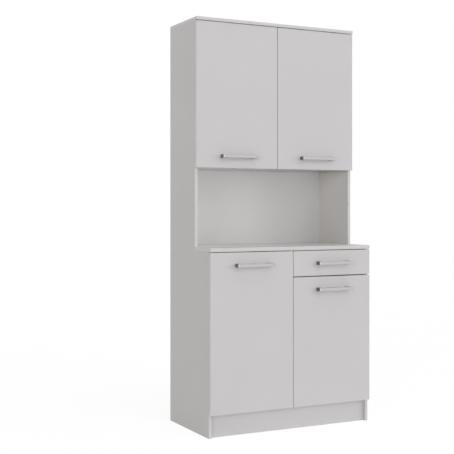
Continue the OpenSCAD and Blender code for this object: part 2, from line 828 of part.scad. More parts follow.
module upper_left_pins() pins(-1, upper_depth, upper_hinge_z);

module upper_left_screws() door_screws(-1, upper_depth, upper_hinge_z, upper_handle_z);

module upper_right_door() door(1, upper_depth, upper_door_z, upper_hinge_z, upper_handle_z);

module upper_right_handle() at(handle_x, upper_face_d, upper_handle_z) handle_body();

module upper_right_cups() cups(1, upper_depth, upper_hinge_z);

module upper_right_pins() pins(1, upper_depth, upper_hinge_z);

module upper_right_screws() door_screws(1, upper_depth, upper_hinge_z, upper_handle_z);

module base_left_door() door(-1, base_depth, left_door_z, left_hinge_z, left_handle_z);

module base_left_handle() at(-handle_x, base_face_d, left_handle_z) handle_body();

module base_left_cups() cups(-1, base_depth, left_hinge_z);

module base_left_pins() pins(-1, base_depth, left_hinge_z);

module base_left_screws() door_screws(-1, base_depth, left_hinge_z, left_handle_z);

module base_right_door() door(1, base_depth, right_door_z, right_hinge_z, right_handle_z);

module base_right_handle() at(handle_x, base_face_d, right_handle_z) handle_body();

module base_right_cups() cups(1, base_depth, right_hinge_z);

module base_right_pins() pins(1, base_depth, right_hinge_z);

module base_right_screws() door_screws(1, base_depth, right_hinge_z, right_handle_z);

// Drawer

drawer_groove_z = [drawer_bottom_z - play / 2, drawer_bottom_z + back_t + play / 2];

module drawer_front()
    color(front_colour) difference() {
        slab(span(1, pair_gap / 2, half_w), [base_back_d, base_face_d], drawer_front_z);
        slab([drawer_in_x[0] - groove, drawer_in_x[1] + groove], [base_back_d - overcut, base_back_d + groove],
            drawer_groove_z);
        drawer_joints() cam_mate_cut();
        at(handle_x, base_face_d, drawer_handle_z) handle_holes();
    }

module drawer_handle() at(handle_x, base_face_d, drawer_handle_z) handle_body();

module drawer_side(s)
    color(board_colour) difference() {
        slab(s < 0 ? [drawer_x[0], drawer_in_x[0]] : [drawer_in_x[1], drawer_x[1]],
            [drawer_back_d, base_back_d], [drawer_z, drawer_z + drawer_side_h]);
        slab([drawer_in_x[0] - groove, drawer_in_x[1] + groove],
            [drawer_back_d - overcut, base_back_d + overcut], drawer_groove_z);
        drawer_joints() cam_cut(drawer_board_t, drawer_cam_d, drawer_cam_h);
        at_drawer_screws() drawer_screw_hole();
        at_runner(s) drawer_runner_screw_holes();
    }

module drawer_side_left() drawer_side(-1);

module drawer_side_right() drawer_side(1);

module drawer_back()
    color(board_colour) difference() {
        slab(drawer_in_x, [drawer_back_d, drawer_back_d + drawer_board_t],
            [drawer_bottom_z + back_t, drawer_z + drawer_side_h]);
        at_drawer_screws() drawer_screw_hole();
    }

module drawer_bottom()
    color(thin_colour)
        slab([drawer_in_x[0] - groove + play, drawer_in_x[1] + groove - play],
            [drawer_back_d, base_back_d + groove - play], [drawer_bottom_z, drawer_bottom_z + back_t]);

// Screws through the drawer's sides into the ends of its back. The frame has its origin on
// the outer face of a side, with -Z into the wood.
drawer_screw_l = 32;

module at_drawer_screws()
    for (s = [-1, 1], h = [0.5, 0.8])
        at(s < 0 ? drawer_x[0] : drawer_x[1], drawer_back_d + drawer_board_t / 2, drawer_z + drawer_side_h * h)
            rotate([0, s * 90, 0]) children();

module drawer_screw_hole() {
    translate([0, 0, -drawer_screw_l - play]) cylinder(r = small_screw[0], h = drawer_screw_l + play + overcut);
    translate([0, 0, -small_screw[2]]) cylinder(r = small_screw[1] + play, h = small_screw[2] + overcut);
}

module drawer_fittings()
    color(steel_colour) {
        drawer_joints() cam_lock(drawer_board_t, drawer_cam_d, drawer_cam_h);
        drawer_joints() cam_bolt();
        at_drawer_screws() translate([0, 0, -small_screw[2]])
            screw(small_screw, drawer_screw_l - small_screw[2]);
        for (s = [-1, 1]) at_runner(s) drawer_runner_screws();
        at(handle_x, base_face_d, drawer_handle_z) handle_screws();
    }

// Runners. The frame has its origin on the cabinet's wall, at the height of the drawer
// side's lower edge, with +X towards the drawer. Distances from the wall stay as they are.
module at_runner(s)
    translate([s < 0 ? divider_x : in_x, 0, drawer_z]) mirror([s > 0 ? 1 : 0, 0, 0]) children();

fixed_span_d = [base_depth - runner_end_play - drawer_len, base_depth - runner_end_play];
moving_span_d = [drawer_back_d + runner_end_play, base_back_d - runner_end_play];
channel_lip = 3.5;
axle_gap = 0.2;
axle_head = 0.8;
axle_head_r = axle_r + 1.5;
fixed_roller_x = runner_t * 2;
moving_roller_x = drawer_web_x - runner_t - axle_gap - roller_w;

module fixed_runner()
    difference() {
        union() {
            slab([0, runner_t], fixed_span_d, [runner_floor, runner_top + runner_t]);
            slab([0, fixed_roller_x + roller_w], fixed_span_d, [runner_floor, runner_floor + runner_t]);
            slab([0, channel_lip], fixed_span_d, [runner_top, runner_top + runner_t]);
            at(runner_t / 2, fixed_roller_d, roller_z) {
                rod_x(axle_r, fixed_roller_x + roller_w + axle_gap);
                rod_x(axle_head_r, fixed_roller_x - runner_t / 2 - axle_gap);
                translate([fixed_roller_x + roller_w + axle_gap - runner_t / 2, 0, 0])
                    rod_x(axle_head_r, axle_head);
            }
        }
        runner_screw_cones();
    }

module moving_runner()
    difference() {
        union() {
            slab([drawer_web_x, runner_gap], moving_span_d, [-runner_t, wing_z + runner_t]);
            slab([drawer_web_x, runner_gap + drawer_board_t], moving_span_d, [-runner_t, 0]);
            slab([channel_lip + 1, runner_gap], moving_span_d, [wing_z, wing_z + runner_t]);
            at(0, drawer_roller_d, roller_z) {
                translate([moving_roller_x - axle_gap - axle_head, 0, 0])
                    rod_x(axle_r, drawer_web_x + runner_t / 2 - moving_roller_x + axle_gap + axle_head);
                translate([moving_roller_x - axle_gap - axle_head, 0, 0]) rod_x(axle_head_r, axle_head);
                translate([moving_roller_x + roller_w + axle_gap, 0, 0]) rod_x(axle_head_r, runner_t);
            }
        }
        at_drawer_runner_screws() translate([0, 0, overcut - runner_t * 2])
            cylinder(r = small_screw[0] + play, h = runner_t * 2);
    }

module roller(x, d)
    at(x, d, roller_z) difference() {
        rod_x(roller_r, roller_w);
        translate([-overcut, 0, 0]) rod_x(axle_r + run_play, roller_w + overcut * 2);
    }

module cabinet_runners() color(plastic_colour) for (s = [-1, 1]) at_runner(s) fixed_runner();

module cabinet_rollers()
    color("dimgray") for (s = [-1, 1]) at_runner(s) roller(fixed_roller_x, fixed_roller_d);

module drawer_runners() color(plastic_colour) for (s = [-1, 1]) at_runner(s) moving_runner();

module drawer_rollers()
    color("dimgray") for (s = [-1, 1]) at_runner(s) roller(moving_roller_x, drawer_roller_d);

// Countersunk screws of the fixed runner, flush with its web
runner_screw_l = 6;
countersink_r = small_screw[0] + runner_t;

module at_runner_screws() for (d = runner_screw_d) at(0, d, roller_z) rotate([0, 90, 0]) children();

module runner_screw_cones()
    at_runner_screws() translate([0, 0, -play])
        cylinder(r1 = small_screw[0], r2 = countersink_r + play, h = runner_t + play * 2);

module runner_screws()
    at_runner_screws() {
        translate([0, 0, -runner_screw_l]) cylinder(r = small_screw[0] - play / 2, h = runner_screw_l + play);
        cylinder(r1 = small_screw[0] - play / 2, r2 = countersink_r - play, h = runner_t);
    }

module runner_screw_holes()
    at_runner_screws() translate([0, 0, -runner_screw_l - play])
        cylinder(r = small_screw[0], h = runner_screw_l + play + overcut);

// Screws of the moving runner, up into the lower edge of the drawer's side. They end below
// the groove of the drawer bottom.
drawer_runner_screw_inset = 50;
drawer_runner_screw_grip = drawer_bottom_lift - 2;

module at_drawer_runner_screws()
    for (d = [moving_span_d[0] + drawer_runner_screw_inset, moving_span_d[1] - drawer_runner_screw_inset])
        at(runner_gap + drawer_board_t / 2, d, 0) children();

module drawer_runner_screws()
    at_drawer_runner_screws() translate([0, 0, -runner_t]) rotate([180, 0, 0])
        screw(small_screw, drawer_runner_screw_grip + runner_t);

module drawer_runner_screw_holes()
    at_drawer_runner_screws() translate([0, 0, -overcut])
        cylinder(r = small_screw[0], h = drawer_runner_screw_grip + overcut + play);

side_left();
side_right();
top_panel();
upper_floor();
upper_shelf();
worktop();
divider();
bottom_panel();
plinth_front();
plinth_rear();
shelf_left();
shelf_right();
back_upper();
back_niche();
back_base();
shelf_supports();
cam_locks();
cam_bolts();
dowels();
wall_brackets();
bumpers();
hinge_plates();
carcass_screws();
cabinet_runners();
cabinet_rollers();
upper_left_arms();
upper_right_arms();
base_left_arms();
base_right_arms();
upper_left_door();
upper_left_handle();
upper_left_cups();
upper_left_pins();
upper_left_screws();
upper_right_door();
upper_right_handle();
upper_right_cups();
upper_right_pins();
upper_right_screws();
base_left_door();
base_left_handle();
base_left_cups();
base_left_pins();
base_left_screws();
base_right_door();
base_right_handle();
base_right_cups();
base_right_pins();
base_right_screws();
drawer_front();
drawer_handle();
drawer_side_left();
drawer_side_right();
drawer_back();
drawer_bottom();
drawer_fittings();
drawer_runners();
drawer_rollers();
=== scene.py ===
import math
from contextlib import contextmanager

import bmesh
import bpy
from mathutils import Matrix, Vector


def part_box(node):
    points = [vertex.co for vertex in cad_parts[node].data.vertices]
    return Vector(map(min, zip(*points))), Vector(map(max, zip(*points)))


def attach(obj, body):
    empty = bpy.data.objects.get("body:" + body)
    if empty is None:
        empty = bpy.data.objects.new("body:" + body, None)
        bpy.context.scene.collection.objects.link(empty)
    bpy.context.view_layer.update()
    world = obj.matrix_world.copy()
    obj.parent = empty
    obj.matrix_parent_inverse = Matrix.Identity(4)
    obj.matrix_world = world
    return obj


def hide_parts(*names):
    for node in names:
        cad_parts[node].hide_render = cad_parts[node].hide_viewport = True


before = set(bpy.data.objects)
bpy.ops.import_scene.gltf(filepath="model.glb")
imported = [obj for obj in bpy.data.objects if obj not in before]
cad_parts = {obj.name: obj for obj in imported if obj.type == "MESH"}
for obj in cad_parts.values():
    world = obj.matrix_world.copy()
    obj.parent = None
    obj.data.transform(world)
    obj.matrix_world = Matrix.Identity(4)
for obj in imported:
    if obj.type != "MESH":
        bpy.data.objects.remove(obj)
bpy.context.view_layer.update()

MM = 0.001
LEFT = -1
RIGHT = 1

# How close two equal places are, and how much of a direction lies along an axis that it follows
near = 0.01 * MM
squarely = 0.9

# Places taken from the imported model
half_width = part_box("side_right")[1].x
inner_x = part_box("side_right")[0].x
divider_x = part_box("divider")[1].x
wall_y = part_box("side_right")[1].y
back_panel_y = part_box("back_niche")[0].y
base_front_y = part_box("side_right")[0].y
upper_front_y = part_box("upper_floor")[0].y
plinth_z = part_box("bottom_panel")[0].z
step_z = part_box("worktop")[0].z
top_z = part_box("top_panel")[0].z

# Edges of the boards
edge_radius = 0.7 * MM
worktop_radius = 1 * MM
band_width = 1.1 * MM
glue_width = 0.15 * MM
groove = 5 * MM
sheet_thick = 3 * MM
slack = 0.1 * MM

# Sides of a board that carry edging: the axis that they face along, and which way
front_edge = (1, -1)
upper_edge = (2, 1)
left_end = (0, -1)
right_end = (0, 1)

# Handles
handle_pitch = 160 * MM
handle_leg = 18 * MM
handle_reach = 34 * MM
handle_bar = 9 * MM
handle_height = 16 * MM
handle_corner = 5 * MM
handle_inner_corner = 3 * MM
handle_edge_radius = 0.9 * MM

# Hinges, in a frame on the back plane of the door at its outer edge: x towards the free
# edge of the door, y towards the wall. First the distance from a door's ends
hinge_end = 100 * MM

# Pin of a hinge, and the knuckle that turns on it
pin_x = 5.789 * MM
pin_y = -8.7 * MM
pin_hole_radius = 1.22 * MM
pin_hole_half = 7.1 * MM
knuckle_radius = 2 * MM
knuckle_bore = 1.25 * MM
knuckle_half = 3 * MM

# Arm of a hinge: it bends upright beside the door, widens over its flare, and has a shallow relief
arm_thick = 2 * MM
arm_half = 7 * MM
arm_x = 17 * MM
arm_end_y = 64 * MM
arm_bend = 1.5 * MM
arm_neck = 2 * MM
arm_flare = 3 * MM
arm_rim = 2.6 * MM
arm_relief = 0.6 * MM
arm_corner = 3.5 * MM
arm_edge_radius = 0.35 * MM
adjuster_y = 12 * MM
adjuster_lift = 1.2 * MM

# Mounting plate under an arm, with a wing on each side
plate_screw_y = 39 * MM
plate_screw_z = 16 * MM
plate_hole_radius = 2.1 * MM
plate_y = (26 * MM, 60 * MM)
plate_half = 8 * MM
plate_corner = 2.5 * MM
plate_edge_radius = 0.3 * MM
wing_y = (30.4 * MM, 47.6 * MM)
wing_half = 24 * MM

# Cup of a hinge, its flange, and the well and slot that the knuckle turns in
cup_x = 20.189 * MM
cup_radius = 17.5 * MM
cup_depth = 12 * MM
cup_floor = 1 * MM
cup_edge_radius = 0.8 * MM
cup_wing = (6 * MM, 30 * MM)
cup_wing_corner = 5.4 * MM
cup_screw_x = 24.189 * MM
cup_screw_z = 24 * MM
flange_thick = 1 * MM
flange_radius = 18 * MM
flange_edge_radius = 0.3 * MM
well_radius = 16.3 * MM
well_half = 9.45 * MM
well_x = 8.99 * MM
well_edge_radius = 1.5 * MM
slot_x = (3.49 * MM, 10.49 * MM)
slot_half = 3.3 * MM

# Screw heads: their rounding and the floor of their cross as shares of the height, the rest as
# shares of the radius
head_rounding = 0.6
head_shoulder = 0.55
cross_floor = 0.35
cross_half_length = 0.62
cross_half_width = 0.13

# Screws: radius and height of the head, and length of the plain shank under it
plate_screw_size = (4 * MM, 1.5 * MM, 10 * MM)
cup_screw_size = (3.5 * MM, 1.2 * MM, 10 * MM)
handle_screw_size = (4 * MM, 2.2 * MM, 14 * MM)
runner_screw_size = (2.8 * MM, 0.7 * MM, 4 * MM)
adjuster_size = (1.6 * MM, 1.2 * MM, 0)

# Shelf holes and cam locks
shelf_hole_radius = 2.5 * MM
shelf_hole_depth = 9 * MM
divider_hole_depth = 6.8 * MM
shelf_hole_pitch = 32 * MM
shelf_hole_drop = 7 * MM
shelf_row_inset = 50 * MM
cam_radius = 7.6 * MM
cam_depth = 12 * MM
cam_inset = 24 * MM
cam_row_inset = 50 * MM

# Drawer box
drawer_cam_radius = 6.1 * MM
drawer_cam_depth = 9.5 * MM
drawer_cam_height = 52 * MM
drawer_screw_inset = 6 * MM
drawer_screw_heights = (40 * MM, 64 * MM)
drawer_recess = 1.2 * MM
drawer_recess_radius = 3.6 * MM

# Drawer runners. First each wall of the drawer's bay with the way from it to the drawer, in which
# webs, folds, axles and rollers are measured
bay_walls = ((divider_x, 1), (inner_x, -1))
runner_thick = 1.2 * MM
runner_bend = 0.9 * MM
fixed_web = (0, runner_thick)
fixed_folds = (9.4 * MM, 3.5 * MM)
moving_web = (11.3 * MM, 12.5 * MM)
moving_folds = (24.5 * MM, 4.5 * MM)

# Runner screws, and the spare holes beside them. Their depths are from the back of the cabinet
runner_screw_seat = 0.5 * MM
runner_screw_depths = (391 * MM, 167 * MM)
runner_screw_hole = 3.1 * MM
runner_spare_depths = (359 * MM, 327 * MM, 231 * MM, 199 * MM, 103 * MM)
runner_spare_hole = 2.2 * MM

# Rollers. An axle is a head, a pin and a second head, and its steps are where each one starts and ends
roller_z = 732.7 * MM
roller_radius = 9 * MM
roller_width = 7 * MM
roller_edge_radius = 0.8 * MM
roller_rim = 1.6 * MM
roller_dish = 0.7 * MM
roller_ring = 1.8 * MM
roller_hub = 0.5 * MM
roller_play = 0.05 * MM
axle_radius = 2.5 * MM
axle_head_radius = 4 * MM
fixed_axle_steps = (0.6 * MM, 2.2 * MM, 9.6 * MM, 10.4 * MM)
fixed_roller_x = 2.4 * MM
fixed_roller_y = -174.5 * MM
moving_axle_steps = (1.9 * MM, 2.7 * MM, 10.1 * MM, 11.3 * MM)
moving_roller_x = 2.9 * MM
moving_roller_y = 147.5 * MM

# Wall brackets and bumpers
bracket_x = 300 * MM
bracket_thick = 2 * MM
bracket_screw_inset = 22.4 * MM
bumper_radius = 3 * MM
bumper_height = 1.7 * MM
bumper_edge_radius = 1 * MM
bumper_inset = 40 * MM
divider_bumper_x = 4.5 * MM


# Modelling

def deselect_all():
    bpy.ops.object.select_all(action="DESELECT")


def make_active(piece):
    deselect_all()
    piece.select_set(True)
    bpy.context.view_layer.objects.active = piece


@contextmanager
def editing(piece):
    """Edit mode on one piece."""
    make_active(piece)
    bpy.ops.object.mode_set(mode="EDIT")
    yield
    bpy.ops.object.mode_set(mode="OBJECT")


def pick_faces(test):
    """Selects the faces whose centre and normal pass the test."""
    bpy.ops.mesh.select_mode(type="FACE")
    bpy.ops.mesh.select_all(action="DESELECT")
    mesh = bpy.context.edit_object.data
    for face in bmesh.from_edit_mesh(mesh).faces:
        if test(face.calc_center_median(), face.normal):
            face.select_set(True)
    bmesh.update_edit_mesh(mesh)


def pick_edges(test):
    """Selects the edges whose middle and direction pass the test. The direction has no sign."""
    bpy.ops.mesh.select_mode(type="EDGE")
    bpy.ops.mesh.select_all(action="DESELECT")
    mesh = bpy.context.edit_object.data
    for edge in bmesh.from_edit_mesh(mesh).edges:
        start, end = (corner.co for corner in edge.verts)
        along = end - start
        if test((start + end) / 2, Vector(map(abs, along.normalized()))):
            edge.select_set(True)
    bmesh.update_edit_mesh(mesh)


def slice_at(place, normal):
    """Cuts new edges where a plane crosses the piece."""
    bpy.ops.mesh.select_all(action="SELECT")
    bpy.ops.mesh.bisect(plane_co=place, plane_no=normal)


def trim(place, normal):
    """Cuts off what lies beyond a plane, and closes the cut."""
    bpy.ops.mesh.select_all(action="SELECT")
    bpy.ops.mesh.bisect(plane_co=place, plane_no=normal, clear_outer=True, use_fill=True)


def pull(x=0.0, y=0.0, z=0.0):
    """Extrudes the selected faces by a distance."""
    bpy.ops.mesh.extrude_region_move(TRANSFORM_OT_translate={"value": (x, y, z)})


def round_edges(radius, segments=2):
    """Rounds the selected edges."""
    bpy.ops.mesh.bevel(offset=radius, segments=segments, affect="EDGES")


def paint(material, test):
    """Gives the faces that pass the test another material."""
    piece = bpy.context.edit_object
    if material.name not in piece.data.materials:
        piece.data.materials.append(material)
    piece.active_material_index = piece.data.materials.find(material.name)
    pick_faces(test)
    bpy.ops.object.material_slot_assign()


def named(name, material):
    """Names the new primitive, puts its place in its mesh and gives it a material."""
    piece = bpy.context.active_object
    piece.name = name
    piece.data.name = name
    bpy.ops.object.transform_apply(location=True, rotation=True, scale=True)
    piece.data.materials.append(material)
    return piece


def block(name, low, high, material):
    """A box between two corners, for shaping."""
    deselect_all()
    low, high = Vector(low), Vector(high)
    bpy.ops.mesh.primitive_cube_add(size=1, location=(low + high) / 2, scale=high - low)
    return named(name, material)


def rod(name, start, end, radius, material, sides=32):
    """A cylinder between two points, for shaping."""
    deselect_all()
    start, end = Vector(start), Vector(end)
    turn = (end - start).to_track_quat("Z", "Y").to_euler()
    bpy.ops.mesh.primitive_cylinder_add(vertices=sides, radius=radius, depth=(end - start).length,
                                        location=(start + end) / 2, rotation=turn)
    return named(name, material)


def join(pieces, name):
    deselect_all()
    for piece in pieces:
        piece.select_set(True)
    bpy.context.view_layer.objects.active = pieces[0]
    if len(pieces) > 1:
        bpy.ops.object.join()
    pieces[0].name = name
    pieces[0].data.name = name
    return pieces[0]


def discard(piece):
    make_active(piece)
    bpy.ops.object.delete()


def combine(piece, others, operation):
    tool = join(others, "tool")
    make_active(piece)
    bpy.ops.object.modifier_add(type="BOOLEAN")
    step = piece.modifiers[-1]
    step.operation = operation
    step.solver = "EXACT"
    step.material_mode = "TRANSFER"
    step.object = tool
    bpy.ops.object.modifier_apply(modifier=step.name)
    discard(tool)


def carve(piece, cutters):
    """Takes the cutters out of a piece. The cut faces keep the cutters' material."""
    combine(piece, cutters, "DIFFERENCE")


def fuse(piece, other):
    """Makes one skin of two pieces. Their edges are rounded before it."""
    combine(piece, [other], "UNION")


def soften(piece, radius, segments=2, angle=40):
    """Rounds every sharp edge of a piece."""
    make_active(piece)
    bpy.ops.object.modifier_add(type="BEVEL")
    bevel = piece.modifiers[-1]
    bevel.width = radius
    bevel.segments = segments
    bevel.limit_method = "ANGLE"
    bevel.angle_limit = math.radians(angle)
    bevel.use_clamp_overlap = True
    bpy.ops.object.modifier_apply(modifier=bevel.name)


def smooth(piece, angle=40):
    """Shades a piece smooth over every bend below an angle."""
    make_active(piece)
    bpy.ops.object.shade_smooth_by_angle(angle=math.radians(angle))


def settle(piece, body, slot, *nodes):
    """Puts a finished piece on its body, in place of the CAD nodes that it stands for."""
    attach(piece, body)
    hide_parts(*nodes)


def at(x, y, z):
    """The spot that carries a master from the origin to a point."""
    return Matrix.Translation((x, y, z))


def turned(degrees, letter):
    """The spot that turns a master about an axis."""
    return Matrix.Rotation(math.radians(degrees), 4, letter)


def copies(master, name, spots):
    """Copies a master to each spot and joins the copies into one piece."""
    made = []
    for spot in spots:
        make_active(master)
        bpy.ops.object.duplicate()
        copy = bpy.context.active_object
        copy.matrix_world = spot
        bpy.ops.object.transform_apply(location=True, rotation=True, scale=True)
        made.append(copy)
    return join(made, name)


# Materials

class Wire:
    """An output socket of a material. Sums and products of wires add Math nodes to it."""

    def __init__(self, socket):
        self.socket = socket

    def node(self, kind, settings=None, inputs=None, output=0):
        """Adds a node of any type: first its settings, then values or wires for its sockets."""
        tree = self.socket.id_data
        made = tree.nodes.new("ShaderNode" + kind)
        for key, value in (settings or {}).items():
            if key == "stops":
                set_stops(made.color_ramp, value)
            else:
                setattr(made, key, value)
        for key, value in (inputs or {}).items():
            if isinstance(value, Wire):
                tree.links.new(value.socket, made.inputs[key])
            else:
                made.inputs[key].default_value = value
        return Wire(made.outputs[output])

    def math(self, operation, first, second):
        return self.node("Math", {"operation": operation}, {0: first, 1: second})

    def __add__(self, other):
        return self.math("ADD", self, other)

    def __radd__(self, other):
        return self.math("ADD", other, self)

    def __sub__(self, other):
        return self.math("SUBTRACT", self, other)

    def __rsub__(self, other):
        return self.math("SUBTRACT", other, self)

    def __mul__(self, other):
        return self.math("MULTIPLY", self, other)

    def __rmul__(self, other):
        return self.math("MULTIPLY", other, self)

    def __gt__(self, other):
        return self.math("GREATER_THAN", self, other)

    def __lt__(self, other):
        return self.math("LESS_THAN", self, other)

    def __abs__(self):
        return self.math("ABSOLUTE", self, 0.0)

    def larger(self, other):
        return self.math("MAXIMUM", self, other)

    def colour(self, low, high):
        """This value as a colour from low, at 0, to high, at 1."""
        return self.node("Mix", {"data_type": "RGBA"}, {0: self, 6: low, 7: high}, 2)

    def shades(self, colour, low, high):
        """This value as shades of one colour, from low to high times as light."""
        return self.colour(tint(colour, low), tint(colour, high))

    def ramp(self, *stops):
        """This value through a colour ramp."""
        return self.node("ValToRGB", {"stops": stops}, {"Fac": self})


def set_stops(ramp, stops):
    while len(ramp.elements) < len(stops):
        ramp.elements.new(1.0)
    for element, (position, colour) in zip(ramp.elements, stops):
        element.position = position
        element.color = colour


def rgb(red, green, blue):
    return (red, green, blue, 1.0)


def grey(value):
    return rgb(value, value, value)


def tint(colour, factor):
    return tuple(part * factor for part in colour[:3]) + (1.0,)


class Finish:
    """A material with one main shader, and the wires that its patterns start from."""

    def __init__(self, name, **constants):
        self.material = bpy.data.materials.new(name)
        self.material.use_nodes = True
        self.tree = self.material.node_tree
        self.shader = self.tree.nodes["Principled BSDF"]
        coordinates = self.tree.nodes.new("ShaderNodeTexCoord")
        self.place = Wire(coordinates.outputs["Object"])
        self.facing = Wire(coordinates.outputs["Normal"])
        for key, value in constants.items():
            self.shader.inputs[key.replace("_", " ")].default_value = value

    def feed(self, socket, wire):
        self.tree.links.new(wire.socket, self.shader.inputs[socket])

    def axis(self, letter, vector=None):
        vector = vector or self.place
        return vector.node("SeparateXYZ", None, {"Vector": vector}, "XYZ".index(letter))

    def noise(self, scale, detail=2.0, roughness=0.5, stretch=None):
        vector = self.place
        if stretch:
            vector = self.place.node("Mapping", None, {"Vector": self.place, "Scale": stretch})
        sockets = {"Vector": vector, "Scale": scale, "Detail": detail, "Roughness": roughness}
        return self.place.node("TexNoise", None, sockets)

    def flakes(self, scale):
        """One random value for each cell of a pattern of cells."""
        cells = self.place.node("TexVoronoi", None, {"Vector": self.place, "Scale": scale}, 1)
        return cells.node("SeparateColor", None, {"Color": cells})

    def waves(self, letter, scale):
        return self.place.node("TexWave", {"bands_direction": letter}, {"Vector": self.place, "Scale": scale})

    def bump(self, height, depth, strength=1.0):
        sockets = {"Height": height, "Distance": depth, "Strength": strength}
        self.feed("Normal", self.place.node("Bump", None, sockets))


def laminate(name, colour, roughness=0.36):
    """Melamine board: even colour with a faint cloud, and a fine pearl surface."""
    finish = Finish(name, IOR=1.48)
    finish.feed("Base Color", finish.noise(4.5, 3.0).shades(colour, 0.975, 1.025))
    wiped = finish.noise(11.0, 4.0, stretch=(1.0, 1.0, 0.35))
    finish.feed("Roughness", roughness - 0.04 + 0.1 * wiped)
    finish.bump(finish.noise(1500.0, 1.0), 0.02 * MM, 0.5)
    return finish.material


def edge_band(name, colour):
    """Glossier plastic edging, with the faint lengthwise marks of its trimming."""
    finish = Finish(name, IOR=1.5)
    trimmed = finish.noise(900.0, 1.0, stretch=(0.02, 1.0, 0.02))
    finish.feed("Base Color", trimmed.shades(colour, 0.97, 1.03))
    finish.feed("Roughness", 0.24 + 0.1 * trimmed)
    return finish.material


def raw_chipboard():
    """The cut edge of a board: flakes of wood pressed together."""
    finish = Finish("raw_chipboard", Roughness=0.9)
    shade = finish.flakes(420.0)
    finish.feed("Base Color", shade.ramp((0.0, rgb(0.20, 0.12, 0.06)), (0.45, rgb(0.44, 0.30, 0.17)),
                                         (1.0, rgb(0.66, 0.52, 0.34))))
    finish.bump(shade, 0.3 * MM, 0.6)
    return finish.material


def hardboard(name, node, letter, bare_way, print_letters):
    """Thin sheet: painted on one side of its middle plane, brown with a mesh print on the other."""
    finish = Finish(name, IOR=1.45)
    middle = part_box(node)[0]["XYZ".index(letter)] + sheet_thick / 2
    bare = bare_way * (finish.axis(letter) - middle) > 0.0
    fibre = finish.noise(260.0, 4.0, 0.7)
    brown = fibre.colour(rgb(0.17, 0.095, 0.045), rgb(0.36, 0.22, 0.12))
    painted = finish.noise(6.0, 3.0).shades(rgb(0.580, 0.566, 0.566), 0.97, 1.03)
    finish.feed("Base Color", bare.colour(painted, brown))
    finish.feed("Roughness", 0.42 + 0.4 * bare)
    mesh_print = finish.waves(print_letters[0], 95.0) * finish.waves(print_letters[1], 95.0)
    finish.bump(bare * (mesh_print + 0.6 * fibre), 0.15 * MM, 0.8)
    return finish.material


def chrome():
    """Plated handle metal, with wiping marks in its roughness. Its colour holds a painted reflection: dark on
    its flanks and level faces, for the dark room that such metal reflects, and a painted highlight round its
    corners."""
    finish = Finish("handle_chrome", Metallic=1.0)
    forward = abs(finish.axis("Y", finish.facing))
    upward = abs(finish.axis("Z", finish.facing))
    # Painted reflection and highlight in the base colour: flanks and level faces dark, rounded corners
    # bright, the front face between
    painted_reflection = forward.ramp((0.10, grey(0.20)), (0.45, grey(0.40)), (0.75, grey(0.95)), (0.97, grey(0.56)))
    finish.feed("Base Color", upward.colour(painted_reflection, grey(0.20)))
    marks = finish.noise(70.0, 3.0, stretch=(0.2, 1.0, 1.0))
    finish.feed("Roughness", 0.10 + 0.08 * marks)
    return finish.material


def plated_steel(name, colour, roughness):
    """Pressed and plated steel of hinges, screws and brackets."""
    finish = Finish(name, Metallic=1.0)
    cloud = finish.noise(140.0, 3.0)
    finish.feed("Base Color", cloud.shades(colour, 0.92, 1.06))
    finish.feed("Roughness", roughness + 0.14 * cloud)
    finish.bump(finish.noise(2500.0, 1.0), 0.01 * MM, 0.4)
    return finish.material


def zinc():
    """Cast zinc of the cam locks and shelf supports, with a soft spangle."""
    finish = Finish("zinc", Metallic=1.0)
    shade = finish.flakes(320.0)
    finish.feed("Base Color", shade.colour(grey(0.50), rgb(0.66, 0.66, 0.64)))
    finish.feed("Roughness", 0.38 + 0.16 * shade)
    return finish.material


def powder_coat():
    """White powder coat of the drawer runners."""
    finish = Finish("runner_white", Base_Color=rgb(0.84, 0.84, 0.82), IOR=1.5)
    peel = finish.noise(1300.0, 1.0)
    finish.feed("Roughness", 0.3 + 0.1 * peel)
    finish.bump(peel, 0.05 * MM, 0.7)
    return finish.material


def nylon():
    """Dark moulded plastic of the runner rollers."""
    finish = Finish("roller_nylon", IOR=1.52)
    scuff = finish.noise(600.0, 3.0)
    finish.feed("Base Color", scuff.colour(grey(0.10), grey(0.16)))
    finish.feed("Roughness", 0.34 + 0.2 * scuff)
    return finish.material


def beech():
    """Grain of the beech dowels."""
    finish = Finish("beech", Roughness=0.6)
    grain = finish.noise(400.0, 3.0, stretch=(0.15, 1.0, 1.0))
    finish.feed("Base Color", grain.colour(rgb(0.52, 0.36, 0.20), rgb(0.70, 0.53, 0.34)))
    return finish.material


def soft_plastic():
    """Milky plastic of the bumpers."""
    finish = Finish("bumper_plastic", Base_Color=grey(0.78), IOR=1.45, Subsurface_Weight=0.3)
    finish.feed("Roughness", 0.25 + 0.15 * finish.noise(500.0, 1.0))
    return finish.material


board = laminate("board_laminate", rgb(0.579, 0.564, 0.554))
front = laminate("front_laminate", rgb(0.597, 0.578, 0.585), 0.33)
band = edge_band("board_edging", rgb(0.62, 0.605, 0.602))
glue = laminate("glue_line", rgb(0.28, 0.27, 0.25), 0.6)
chipboard = raw_chipboard()
back_sheet = hardboard("back_hardboard", "back_niche", "Y", 1, "XZ")
drawer_sheet = hardboard("drawer_hardboard", "drawer_bottom", "Z", -1, "XY")
handle_metal = chrome()
nickel = plated_steel("nickel_steel", rgb(0.66, 0.65, 0.62), 0.22)
screw_steel = plated_steel("screw_steel", rgb(0.60, 0.60, 0.59), 0.26)
cast_zinc = zinc()
runner_white = powder_coat()
roller_plastic = nylon()
dowel_wood = beech()
bumper_plastic = soft_plastic()


# Boards

